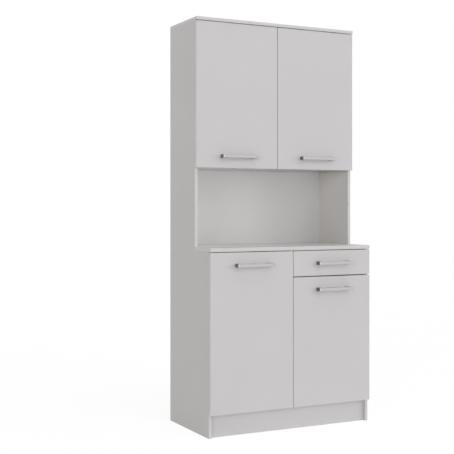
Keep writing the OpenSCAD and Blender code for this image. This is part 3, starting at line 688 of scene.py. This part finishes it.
def band_side(axis, value, inwards, inside=lambda centre: True):
    """Edging on the side of a board at one value of an axis: the band, then its glue line."""
    normal = Vector((0, 0, 0))
    normal[axis] = 1.0
    for depth in (band_width, band_width + glue_width):
        place = Vector((0, 0, 0))
        place[axis] = value + inwards * depth
        slice_at(place, normal)

    def depth_of(centre):
        return (centre[axis] - value) * inwards

    paint(glue, lambda centre, n: inside(centre) and band_width < depth_of(centre) < band_width + glue_width)
    paint(band, lambda centre, n: inside(centre) and depth_of(centre) < band_width)


def raw_faces():
    """Bare chipboard on the faces against the wall and on the floor."""
    paint(chipboard, lambda centre, n: n.y > squarely and centre.y > wall_y - slack)
    paint(chipboard, lambda centre, n: n.z < -squarely and centre.z < slack)


def bores(spots, radius, sides=40):
    """Round cutters, each from one point to another. They start a little outside the board."""
    return [rod("bore", start, end, radius, chipboard, sides) for start, end in spots]


def shelf_holes(x, inwards, depth, front_y, underside):
    """Cutters for the shelf holes in one face of an upright board: a row behind and a row in front."""
    rows = (back_panel_y - shelf_row_inset, front_y + shelf_row_inset)
    heights = [underside - shelf_hole_drop + step * shelf_hole_pitch for step in range(-2, 3)]
    return bores([((x - inwards * MM, y, z), (x + inwards * depth, y, z)) for y in rows for z in heights],
                 shelf_hole_radius, 20)


def level_cams(outside_z, inside_z, front_y):
    """Cutters for the cam locks near the four corners of a level board."""
    places = [(side * (inner_x - cam_inset), y) for side in (LEFT, RIGHT)
              for y in (wall_y - cam_row_inset, front_y + cam_row_inset)]
    return bores([((*place, outside_z), (*place, inside_z)) for place in places], cam_radius)


def fitted_board(node, name, banded, cutters=(), surface=board):
    """A board the size of its node, with edging on the sides named."""
    low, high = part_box(node)
    piece = block(name, low, high, surface)
    sides = [(axis, (low if way < 0 else high)[axis], -way) for axis, way in banded]
    with editing(piece):
        pick_edges(lambda middle, along: any(abs(middle[axis] - value) < near for axis, value, way in sides))
        round_edges(edge_radius)
        for side in sides:
            band_side(*side)
        raw_faces()
    if cutters:
        carve(piece, list(cutters))
    smooth(piece)
    return piece


def front_board(node, name, hinge_side=None, hinge_heights=(), cutters=()):
    """A door or drawer front: edged all round, with bores for its hinge cups."""
    low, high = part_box(node)
    piece = block(name, low, high, front)
    with editing(piece):
        pick_edges(lambda middle, along: True)
        round_edges(edge_radius)
        for axis in (0, 2):
            band_side(axis, low[axis], 1)
            band_side(axis, high[axis], -1)
    cutters = list(cutters)
    if hinge_side:
        x = hinge_side * (half_width - cup_x)
        cutters += bores([((x, high.y + MM, z), (x, high.y - cup_depth, z)) for z in hinge_heights],
                         cup_radius, 48)
    carve(piece, cutters)
    smooth(piece)
    return piece


def side_board(side, name, shelf_z):
    """A side panel: deep below the worktop, shallow above it."""
    x = sorted((side * inner_x, side * half_width))
    piece = block(name, (x[0], base_front_y, 0), (x[1], wall_y, step_z), board)
    with editing(piece):
        slice_at((0, upper_front_y, 0), (0, 1, 0))
        pick_faces(lambda centre, n: n.z > squarely and centre.y > upper_front_y)
        pull(z=top_z - step_z)
        pick_edges(lambda middle, along: along.z > squarely and (
            middle.y < base_front_y + near or (abs(middle.y - upper_front_y) < near and middle.z > step_z)))
        round_edges(edge_radius)
        band_side(1, base_front_y, 1)
        band_side(1, upper_front_y, 1, lambda centre: centre.z > step_z and centre.y > upper_front_y - MM)
        raw_faces()
    holes = (side * inner_x, side, shelf_hole_depth)
    cutters = shelf_holes(*holes, upper_front_y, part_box("upper_shelf")[0].z)
    cutters += shelf_holes(*holes, base_front_y, shelf_z)
    cams = [(wall_y - cam_row_inset, top_z), (upper_front_y + cam_row_inset, top_z),
            ((upper_front_y + base_front_y) / 2, step_z)]
    cutters += bores([((side * (inner_x - MM), y, joint_z - cam_inset),
                       (side * (inner_x + cam_depth), y, joint_z - cam_inset)) for y, joint_z in cams],
                     cam_radius)
    groove_x = sorted((side * (inner_x - MM), side * (inner_x + groove)))
    cutters.append(block("back_groove", (groove_x[0], back_panel_y - slack, plinth_z),
                         (groove_x[1], back_panel_y + sheet_thick + slack, top_z + MM), chipboard))
    carve(piece, cutters)
    smooth(piece)
    return piece


def top_board():
    """The top panel: it lies on the sides and stands out past the doors."""
    low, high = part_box("top_panel")
    piece = block("top_board", low, high, board)
    with editing(piece):
        pick_edges(lambda middle, along: middle.y < wall_y - MM)
        round_edges(edge_radius)
        band_side(0, low.x, 1)
        band_side(0, high.x, -1)
        band_side(1, low.y, 1)
        raw_faces()
    smooth(piece)
    return piece


def worktop_board():
    """The worktop: full width in front, and notched round the sides behind."""
    low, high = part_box("worktop")
    piece = block("worktop_board", low, (high.x, upper_front_y, high.z), board)
    with editing(piece):
        for x in (-inner_x, inner_x):
            slice_at((x, 0, 0), (1, 0, 0))
        pick_faces(lambda centre, n: n.y > squarely and abs(centre.x) < inner_x)
        pull(y=high.y - upper_front_y)
        pick_edges(lambda middle, along: middle.y < upper_front_y - MM and (
            middle.y < low.y + near or abs(middle.x) > half_width - near))
        round_edges(worktop_radius, 3)
        band_side(1, low.y, 1)
        band_side(0, low.x, 1)
        band_side(0, high.x, -1)
    smooth(piece)
    return piece


def drawer_side_board(side, node, name):
    """A side of the drawer: a groove for its bottom, a cam lock in front, screws behind."""
    low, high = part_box(node)
    inner, outer = (high.x, low.x) if side < 0 else (low.x, high.x)
    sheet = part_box("drawer_bottom")
    groove_x = sorted((inner + side * groove, inner - side * MM))
    cutters = [block("bottom_groove", (groove_x[0], low.y - MM, sheet[0].z - slack / 2),
                     (groove_x[1], high.y + MM, sheet[1].z + slack / 2), chipboard)]
    cam = (low.y + cam_inset, low.z + drawer_cam_height)
    cutters += bores([((inner - side * MM, *cam), (inner + side * drawer_cam_depth, *cam))],
                     drawer_cam_radius)
    screws = [(high.y - drawer_screw_inset, low.z + height) for height in drawer_screw_heights]
    cutters += bores([((outer + side * MM, *place), (outer - side * drawer_recess, *place))
                      for place in screws], drawer_recess_radius)
    return fitted_board(node, name, [upper_edge], cutters)


# Handles

def bow_handle():
    """A chrome bow, modelled round the middle of its foot plane at the origin."""
    half = (handle_pitch + handle_leg) / 2
    bow = block("bow", (-half, -handle_reach, -handle_height / 2), (half, 0, handle_height / 2), handle_metal)
    with editing(bow):
        pick_edges(lambda middle, along: along.z > squarely and middle.y < -handle_reach + near)
        round_edges(handle_corner, 6)
    half_grip = (handle_pitch - handle_leg) / 2
    opening = block("opening", (-half_grip, handle_bar - handle_reach, -handle_height),
                    (half_grip, handle_bar, handle_height), handle_metal)
    with editing(opening):
        pick_edges(lambda middle, along: along.z > squarely and middle.y < 0)
        round_edges(handle_inner_corner, 5)
    carve(bow, [opening])
    soften(bow, handle_edge_radius, 3, 50)
    smooth(bow, 50)
    return bow


def handle_foot(name):
    """The middle of a handle's foot plane, on the face of its door or drawer."""
    low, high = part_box(name + "_handle")
    return Vector(((low.x + high.x) / 2, high.y, (low.z + high.z) / 2))


# Screws and hinges

def screw_head(radius, height, shank):
    """A pan head with a cross recess on the plane z = 0, and its plain shank below."""
    screw = rod("screw", (0, 0, 0), (0, 0, height), radius, screw_steel, 28)
    with editing(screw):
        pick_edges(lambda middle, along: middle.z > height - near)
        round_edges(height * head_rounding, 3)
        if shank:
            pick_faces(lambda centre, n: n.z < -squarely)
            bpy.ops.mesh.inset(thickness=radius * head_shoulder)
            pull(z=-shank)
    long, thin = radius * cross_half_length, radius * cross_half_width
    for x, y, lift in ((long, thin, 0), (thin, long, near)):
        bar = block("cross", (-x, -y, height * cross_floor + lift), (x, y, height * 2 + lift), screw_steel)
        carve(screw, [bar])
    smooth(screw)
    return screw


def hinge_arm():
    """A pressed steel arm in the hinge's own frame, from its knuckle to its rear end."""
    bend_x = arm_x - arm_bend
    bend_y = pin_y + arm_thick / 2 + arm_bend
    arm = block("arm", (pin_x, pin_y - arm_thick / 2, -knuckle_half),
                (bend_x, pin_y + arm_thick / 2, knuckle_half), nickel)
    with editing(arm):
        pick_faces(lambda centre, n: n.x > squarely)
        bpy.ops.mesh.spin(steps=5, angle=math.radians(-90), center=(bend_x, bend_y, 0), axis=(0, 0, 1))
        pull(y=arm_neck)
        pull(y=arm_flare)
        bpy.ops.transform.resize(value=(1, 1, arm_half / knuckle_half), center_override=(arm_x, 0, 0))
        pull(y=arm_end_y - bend_y - arm_neck - arm_flare)
        pick_faces(lambda centre, n: n.x > squarely and centre.y > 0)
        bpy.ops.mesh.inset(thickness=arm_rim)
        pull(x=-arm_relief)
        pick_edges(lambda middle, along: along.x > squarely and middle.y > arm_end_y - near)
        round_edges(arm_corner, 5)
        bpy.ops.mesh.select_all(action="SELECT")
        bpy.ops.mesh.remove_doubles(threshold=near)
        bpy.ops.mesh.normals_make_consistent(inside=False)
    soften(arm, arm_edge_radius)
    pin = (pin_x, pin_y)
    knuckle = rod("knuckle", (*pin, -knuckle_half), (*pin, knuckle_half), knuckle_radius, nickel)
    carve(knuckle, [rod("bore", (*pin, -2 * knuckle_half), (*pin, 2 * knuckle_half), knuckle_bore, nickel)])
    smooth(arm)
    small_screw = screw_head(*adjuster_size)
    on_arm = at(arm_x + adjuster_lift, adjuster_y, 0) @ turned(90, "Y")
    adjuster = copies(small_screw, "adjuster", [on_arm])
    discard(small_screw)
    return join([arm, knuckle, adjuster], "arm")


def hinge_cup():
    """A pressed cup in the hinge's own frame: its pot, its flange and two wings for its screws."""
    cup = rod("cup", (cup_x, -cup_depth, 0), (cup_x, flange_thick / 2, 0), cup_radius - slack, nickel, 64)
    with editing(cup):
        pick_edges(lambda middle, along: middle.y < -cup_depth + near)
        round_edges(cup_edge_radius, 3)
    flange = rod("flange", (cup_x, 0, 0), (cup_x, flange_thick, 0), flange_radius, nickel, 64)
    wings = block("wings", (cup_screw_x - cup_wing[0], 0, -cup_wing[1]),
                  (cup_screw_x + cup_wing[0], flange_thick, cup_wing[1]), nickel)
    with editing(wings):
        pick_edges(lambda middle, along: along.y > squarely)
        round_edges(cup_wing_corner, 6)
    for part in (flange, wings):
        with editing(part):
            pick_edges(lambda middle, along: middle.y > flange_thick - near)
            round_edges(flange_edge_radius)
    fuse(flange, wings)
    fuse(cup, flange)
    floor_y = cup_floor - cup_depth
    above_y = 2 * flange_thick
    well = rod("well", (cup_x, floor_y, 0), (cup_x, above_y, 0), well_radius, nickel, 64)
    with editing(well):
        trim((0, 0, well_half), (0, 0, 1))
        trim((0, 0, -well_half), (0, 0, -1))
        trim((well_x, 0, 0), (-1, 0, 0))
        pick_edges(lambda middle, along: middle.y < floor_y + near)
        round_edges(well_edge_radius, 4)
    slot = block("slot", (slot_x[0], floor_y, -slot_half), (slot_x[1], above_y, slot_half), nickel)
    pin_hole = rod("pin_hole", (pin_x, pin_y, -pin_hole_half), (pin_x, pin_y, pin_hole_half),
                   pin_hole_radius, nickel)
    for cutter in (well, slot, pin_hole):
        carve(cup, [cutter])
    smooth(cup)
    return cup


def hinge_plate():
    """A cross-shaped mounting plate in the hinge's own frame, with its three screw holes."""
    plate = block("plate", (arm_x - arm_thick, plate_y[0], -plate_half), (arm_x, plate_y[1], plate_half),
                  nickel)
    with editing(plate):
        for y in wing_y:
            slice_at((0, y, 0), (0, 1, 0))
        for way in (-1, 1):
            pick_faces(lambda centre, n: n.z * way > squarely and wing_y[0] < centre.y < wing_y[1])
            pull(z=way * (wing_half - plate_half))
        pick_edges(lambda middle, along: along.x > squarely and (
            abs(middle.z) > plate_half + MM or not plate_y[0] + MM < middle.y < plate_y[1] - MM))
        round_edges(plate_corner, 5)
    soften(plate, plate_edge_radius, 2, 50)
    below_x, above_x = arm_x - 2 * arm_thick, arm_x + arm_thick
    carve(plate, [rod("hole", (below_x, plate_screw_y, z), (above_x, plate_screw_y, z), plate_hole_radius,
                      nickel, 24) for z in (-plate_screw_z, 0, plate_screw_z)])
    smooth(plate)
    return plate


def hinge_spots(side, back_plane_y, heights):
    """Where each hinge's own frame stands; on the right it is turned over."""
    turn = turned(180, "Y") if side > 0 else Matrix.Identity(4)
    return [at(side * half_width, back_plane_y, z) @ turn for z in heights]


# Drawer runners

def folded_steel(name, node, wall_x, toward, web, folds, holes):
    """A runner profile: an upright web with a fold at its foot and one at its head. The folds are
    how far each one reaches from the wall of the bay."""
    low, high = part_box(node)
    outer, inner = (wall_x + toward * offset for offset in web)
    web_x = sorted((outer, inner))
    runner = block(name, (web_x[0], low.y, low.z), (web_x[1], high.y, high.z), runner_white)
    bends = []
    with editing(runner):
        for level, end_z, reach in ((low.z + runner_thick, low.z, folds[0]),
                                    (high.z - runner_thick, high.z, folds[1])):
            face_x, corner_x = (inner, outer) if reach > web[1] else (outer, inner)
            fold_z = sorted((level, end_z))
            slice_at((0, 0, level), (0, 0, 1))
            pick_faces(lambda centre, n: abs(centre.x - face_x) < near and fold_z[0] < centre.z < fold_z[1])
            pull(x=wall_x + toward * reach - face_x)
            bends.append((corner_x, end_z))
        pick_edges(lambda middle, along: along.y > squarely and any(
            abs(middle.x - x) < near and abs(middle.z - z) < near for x, z in bends))
        round_edges(runner_bend, 4)
    carve(runner, [rod("hole", (outer - toward * MM, y, roller_z), (inner + toward * MM, y, roller_z), radius,
                       runner_white, 24) for y, radius in holes])
    smooth(runner)
    return runner


def axle(wall_x, toward, y, steps):
    """A roller's axle: a head, a pin and a second head."""
    radii = (axle_head_radius, axle_radius, axle_head_radius)
    return [rod("step", (wall_x + toward * start, y, roller_z), (wall_x + toward * end, y, roller_z), radius,
                screw_steel) for start, end, radius in zip(steps, steps[1:], radii)]


def runner_pair(name, node, web, folds, holes, axle_y, axle_steps):
    """The runners on both walls of the bay, each with its axle."""
    pieces = []
    for wall_x, toward in bay_walls:
        pieces.append(folded_steel(name, node, wall_x, toward, web, folds, holes))
        pieces += axle(wall_x, toward, axle_y, axle_steps)
    return join(pieces, name)


def roller_wheel():
    """A moulded roller on the X axis at the origin: rounded rims, hollow faces and a bore."""
    half = roller_width / 2
    wheel = rod("wheel", (-half, 0, 0), (half, 0, 0), roller_radius, roller_plastic, 56)
    with editing(wheel):
        pick_edges(lambda middle, along: abs(middle.x) > half - near)
        round_edges(roller_edge_radius, 3)
        for way in (-1, 1):
            pick_faces(lambda centre, n: centre.x * way > half - near and n.x * way > squarely)
            bpy.ops.mesh.inset(thickness=roller_rim)
            pull(x=-way * roller_dish)
            bpy.ops.mesh.inset(thickness=roller_ring)
            pull(x=way * roller_hub)
    bore = rod("bore", (-2 * half, 0, 0), (2 * half, 0, 0), axle_radius + roller_play, roller_plastic, 40)
    carve(wheel, [bore])
    smooth(wheel)
    return wheel


def bumper():
    """A round bumper with a domed face towards the front, its foot at the origin."""
    dome = rod("dome", (0, 0, 0), (0, -bumper_height, 0), bumper_radius, bumper_plastic, 28)
    with editing(dome):
        pick_edges(lambda middle, along: middle.y < -bumper_height + near)
        round_edges(bumper_edge_radius, 4)
    smooth(dome)
    return dome


# Fronts. Each leaf keeps its side, its back plane and the heights of its hinges
leaves = {}
for name, side in (("upper_left", LEFT), ("upper_right", RIGHT), ("base_left", LEFT), ("base_right", RIGHT)):
    door = name + "_door"
    low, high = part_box(door)
    heights = (low.z + hinge_end, high.z - hinge_end)
    leaves[name] = (side, high.y, heights)
    settle(front_board(door, name + "_panel", side, heights), name + "_leaf", "front", door)
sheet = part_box("drawer_bottom")
slot = block("bottom_groove", (sheet[0].x - slack, sheet[0].y - slack, sheet[0].z - slack / 2),
             (sheet[1].x + slack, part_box("drawer_front")[1].y + MM, sheet[1].z + slack / 2), chipboard)
settle(front_board("drawer_front", "drawer_panel", cutters=[slot]), "drawer", "front", "drawer_front")

# Carcass boards
shelf_z = {side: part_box(node)[0].z for side, node in ((LEFT, "shelf_left"), (RIGHT, "shelf_right"))}
settle(side_board(LEFT, "side_panel_left", shelf_z[LEFT]), "carcass", "board", "side_left")
settle(side_board(RIGHT, "side_panel_right", shelf_z[RIGHT]), "carcass", "board", "side_right")
settle(top_board(), "carcass", "board", "top_panel")
settle(worktop_board(), "carcass", "board", "worktop")

loft_low, loft_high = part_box("upper_floor")
loft_cams = level_cams(loft_high.z + MM, loft_high.z - cam_depth, upper_front_y)
floor_cams = level_cams(plinth_z - MM, plinth_z + cam_depth, base_front_y)
divider_holes = shelf_holes(-divider_x, 1, divider_hole_depth, base_front_y, shelf_z[LEFT])
divider_holes += shelf_holes(divider_x, -1, divider_hole_depth, base_front_y, shelf_z[RIGHT])
for node, name, cutters in (("upper_floor", "upper_floor_board", loft_cams),
                            ("bottom_panel", "bottom_board", floor_cams),
                            ("divider", "divider_board", divider_holes)):
    settle(fitted_board(node, name, [front_edge], cutters), "carcass", "board", node)
for node in ("upper_shelf", "shelf_left", "shelf_right"):
    settle(fitted_board(node, node + "_board", [left_end, right_end, front_edge]), "carcass", "board", node)
for node, surface in (("plinth_front", front), ("plinth_rear", board)):
    settle(fitted_board(node, node + "_board", [upper_edge], surface=surface), "carcass", "board", node)

# Drawer box
for node, name, side in (("drawer_side_left", "drawer_board_left", LEFT),
                         ("drawer_side_right", "drawer_board_right", RIGHT)):
    settle(drawer_side_board(side, node, name), "drawer", "board", node)
settle(fitted_board("drawer_back", "drawer_back_board", [upper_edge]), "drawer", "board", "drawer_back")

# Handles, each on the middle of its CAD node
bow = bow_handle()
for name in ("upper_left", "upper_right", "base_left", "base_right", "drawer"):
    body = "drawer" if name == "drawer" else name + "_leaf"
    settle(copies(bow, name + "_bow", [at(*handle_foot(name))]), body, "chrome", name + "_handle")
discard(bow)

# Hinges, with the screws of their cups and of the handles
arm = hinge_arm()
plate = hinge_plate()
cup = hinge_cup()
plate_screw = screw_head(*plate_screw_size)
cup_screw = screw_head(*cup_screw_size)
handle_screw = screw_head(*handle_screw_size)
to_wall = turned(-90, "X")
plate_places = [(arm_x, plate_screw_y, plate_screw_z), (arm_x, plate_screw_y, -plate_screw_z),
                (arm_x + arm_thick, plate_screw_y, 0)]
plate_spots = []
all_hinges = []
for name, (side, back_plane, heights) in leaves.items():
    leaf = name + "_leaf"
    hinges = hinge_spots(side, back_plane, heights)
    all_hinges += hinges
    settle(copies(cup, name + "_hinge_cups", hinges), leaf, "steel", name + "_cups")
    settle(copies(arm, name + "_hinge_arms", hinges), "carcass", "steel", name + "_arms")
    plate_spots += [hinge @ at(*place) @ turned(90, "Y") for hinge in hinges for place in plate_places]
    cup_spots = [hinge @ at(cup_screw_x, flange_thick, z) @ to_wall
                 for hinge in hinges for z in (-cup_screw_z, cup_screw_z)]
    foot = handle_foot(name)
    handle_spots = [at(foot.x + offset, back_plane, foot.z) @ to_wall
                    for offset in (-handle_pitch / 2, handle_pitch / 2)]
    heads = [copies(cup_screw, name + "_cup_screws", cup_spots),
             copies(handle_screw, name + "_handle_screws", handle_spots)]
    settle(join(heads, name + "_screw_heads"), leaf, "steel", name + "_screws")
settle(copies(plate, "hinge_mounting_plates", all_hinges), "carcass", "steel", "hinge_plates")

# Screws of the hinge plates, the fixed runners and the wall brackets
runner_screw = screw_head(*runner_screw_size)
runner_spots = [at(wall_x + toward * runner_screw_seat, wall_y - depth, roller_z) @ turned(90 * toward, "Y")
                for wall_x, toward in bay_walls for depth in runner_screw_depths]
bracket_spots = [at(x, back_panel_y - bracket_screw_inset, top_z - bracket_thick) @ turned(180, "X")
                 for x in (-bracket_x, bracket_x)]
heads = [copies(plate_screw, "plate_screws", plate_spots),
         copies(runner_screw, "runner_screws", runner_spots),
         copies(cup_screw, "bracket_screws", bracket_spots)]
settle(join(heads, "carcass_screw_heads"), "carcass", "steel", "carcass_screws")
for master in (arm, plate, cup, plate_screw, cup_screw, handle_screw, runner_screw):
    discard(master)

# Drawer runners and their rollers
screw_holes = [(wall_y - depth, runner_screw_hole) for depth in runner_screw_depths]
spare_holes = [(wall_y - depth, runner_spare_hole) for depth in runner_spare_depths]
settle(runner_pair("cabinet_runner_pair", "cabinet_runners", fixed_web, fixed_folds,
                   screw_holes + spare_holes, fixed_roller_y, fixed_axle_steps),
       "carcass", "runner_paint", "cabinet_runners")
settle(runner_pair("drawer_runner_pair", "drawer_runners", moving_web, moving_folds,
                   spare_holes[:3], moving_roller_y, moving_axle_steps),
       "drawer", "runner_paint", "drawer_runners")
wheel = roller_wheel()
for name, body, x, y in (("cabinet", "fixed_rollers", fixed_roller_x, fixed_roller_y),
                         ("drawer", "moving_rollers", moving_roller_x, moving_roller_y)):
    spots = [at(wall_x + toward * (x + roller_width / 2), y, roller_z) for wall_x, toward in bay_walls]
    settle(copies(wheel, name + "_roller_wheels", spots), body, "roller_plastic", name + "_rollers")
discard(wheel)

# Bumpers behind the fronts: two pairs on the floors' edges, and three on the divider's edge
dome = bumper()
loft_z = (loft_low.z + loft_high.z) / 2
foot_z = (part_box("base_left_door")[0].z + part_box("bottom_panel")[1].z) / 2
left_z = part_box("base_left_door")[1].z - bumper_inset
right_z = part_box("base_right_door")[1].z - bumper_inset
spots = [at(x, y, z) for y, z in ((upper_front_y, loft_z), (base_front_y, foot_z))
         for x in (-bumper_inset, bumper_inset)]
spots += [at(side * divider_bumper_x, base_front_y, z)
          for side, z in ((LEFT, left_z), (RIGHT, right_z), (RIGHT, handle_foot("drawer").z))]
settle(copies(dome, "bumper_domes", spots), "carcass", "soft_plastic", "bumpers")
discard(dome)

# Finishes of the CAD pieces that stay
kept_finishes = {
    back_sheet: ["back_upper", "back_niche", "back_base"],
    drawer_sheet: ["drawer_bottom"],
    cast_zinc: ["cam_locks", "shelf_supports"],
    screw_steel: ["cam_bolts", "wall_brackets", "drawer_fittings", "upper_left_pins", "upper_right_pins",
                  "base_left_pins", "base_right_pins"],
    dowel_wood: ["dowels"],
}
for finish, nodes in kept_finishes.items():
    for node in nodes:
        for material_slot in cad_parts[node].material_slots:
            material_slot.material = finish


# Studio

def white_floor(shadow, white):
    """A floor that shows white, and keeps a share of the shadow of what stands on it."""
    deselect_all()
    bpy.ops.mesh.primitive_plane_add(size=60)
    finish = Finish("studio_floor", Base_Color=grey(0.86), Roughness=0.9, Specular_IOR_Level=0.0)
    floor = named("studio_floor", finish.material)
    light_path = finish.tree.nodes.new("ShaderNodeLightPath")
    seen = Wire(light_path.outputs["Is Camera Ray"]).larger(Wire(light_path.outputs["Is Glossy Ray"]))
    lit = Wire(finish.shader.outputs[0])
    glow = seen.node("Emission", None, {"Color": grey(1.0), "Strength": white})
    mixed = seen.node("MixShader", None, {0: (1.0 - shadow) * seen, 1: lit, 2: glow})
    finish.tree.links.new(mixed.socket, finish.tree.nodes["Material Output"].inputs["Surface"])


def white_world(level):
    """Even light from all round; the camera and mirrors see plain white."""
    world = bpy.data.worlds.new("studio")
    world.use_nodes = True
    bpy.context.scene.world = world
    light_path = world.node_tree.nodes.new("ShaderNodeLightPath")
    seen = Wire(light_path.outputs["Is Camera Ray"])
    for ray in ("Is Glossy Ray", "Is Transmission Ray"):
        seen = seen.larger(Wire(light_path.outputs[ray]))
    background = world.node_tree.nodes["Background"]
    background.inputs["Color"].default_value = grey(1.0)
    world.node_tree.links.new((level + (1.0 - level) * seen).socket, background.inputs["Strength"])


def lamp(name, kind, place, aim, power, **settings):
    """A soft lamp turned towards a point, which neither the camera nor the metal shows."""
    turn = (Vector(aim) - Vector(place)).to_track_quat("-Z", "Y").to_euler()
    deselect_all()
    bpy.ops.object.light_add(type=kind, location=place, rotation=turn)
    made = bpy.context.active_object
    made.name = name
    made.data.energy = power
    for key, value in settings.items():
        setattr(made.data, key, value)
    made.visible_camera = False
    made.visible_glossy = False


def key_light(name, turn, height, power):
    """A far, broad light. It stands some degrees to the right of straight in front, and above level."""
    turn, height = math.radians(turn), math.radians(height)
    level = math.cos(height)
    towards = Vector((math.sin(turn) * level, -math.cos(turn) * level, math.sin(height)))
    lamp(name, "SUN", 4 * towards, (0, 0, 0), power, angle=math.radians(25))


def panel_light(name, place, aim, width, height, power):
    lamp(name, "AREA", place, aim, power, shape="RECTANGLE", size=width, size_y=height)


white_floor(0.15, 1.075)
white_world(0.418)
key_light("left_light", -50, 5, 0.882)
key_light("front_light", 20, 30, 0.302)
key_light("right_light", 55, 10, 0.574)
key_light("high_light", 0, 70, 0.416)

# A level light from straight in front evens out the fronts. Three weak panels stand in the niche, in
# metres: before its left half, beside its left wall and under its roof
lamp("front_fill", "SUN", (0, -4, 0), (0, 0, 0), 0.334, angle=0.0, use_shadow=False)
panel_light("niche_front", (-0.2, -0.041, 1.03), (-0.2, 1.0, 1.03), 0.4, 0.35, 0.125)
panel_light("niche_left", (-0.406, 0.0925, 1.03), (1.0, 0.0925, 1.03), 0.26, 0.35, 0.095)
panel_light("niche_top", (0.0, 0.0925, 1.209), (0.0, 0.0925, 0.0), 0.8, 0.26, 0.175)

# The camera is level and stands off to the left, so the left side panel shows as in the photograph
bpy.ops.object.camera_add(location=(-2.3035, -4.0883, 1.0244),
                          rotation=(math.radians(90), 0.0, math.radians(-26.787)))
camera = bpy.context.active_object
camera.data.sensor_width = 36.0
camera.data.lens = 77.36
camera.data.shift_y = -0.0415
bpy.context.scene.camera = camera

bpy.context.scene.view_settings.view_transform = "Standard"
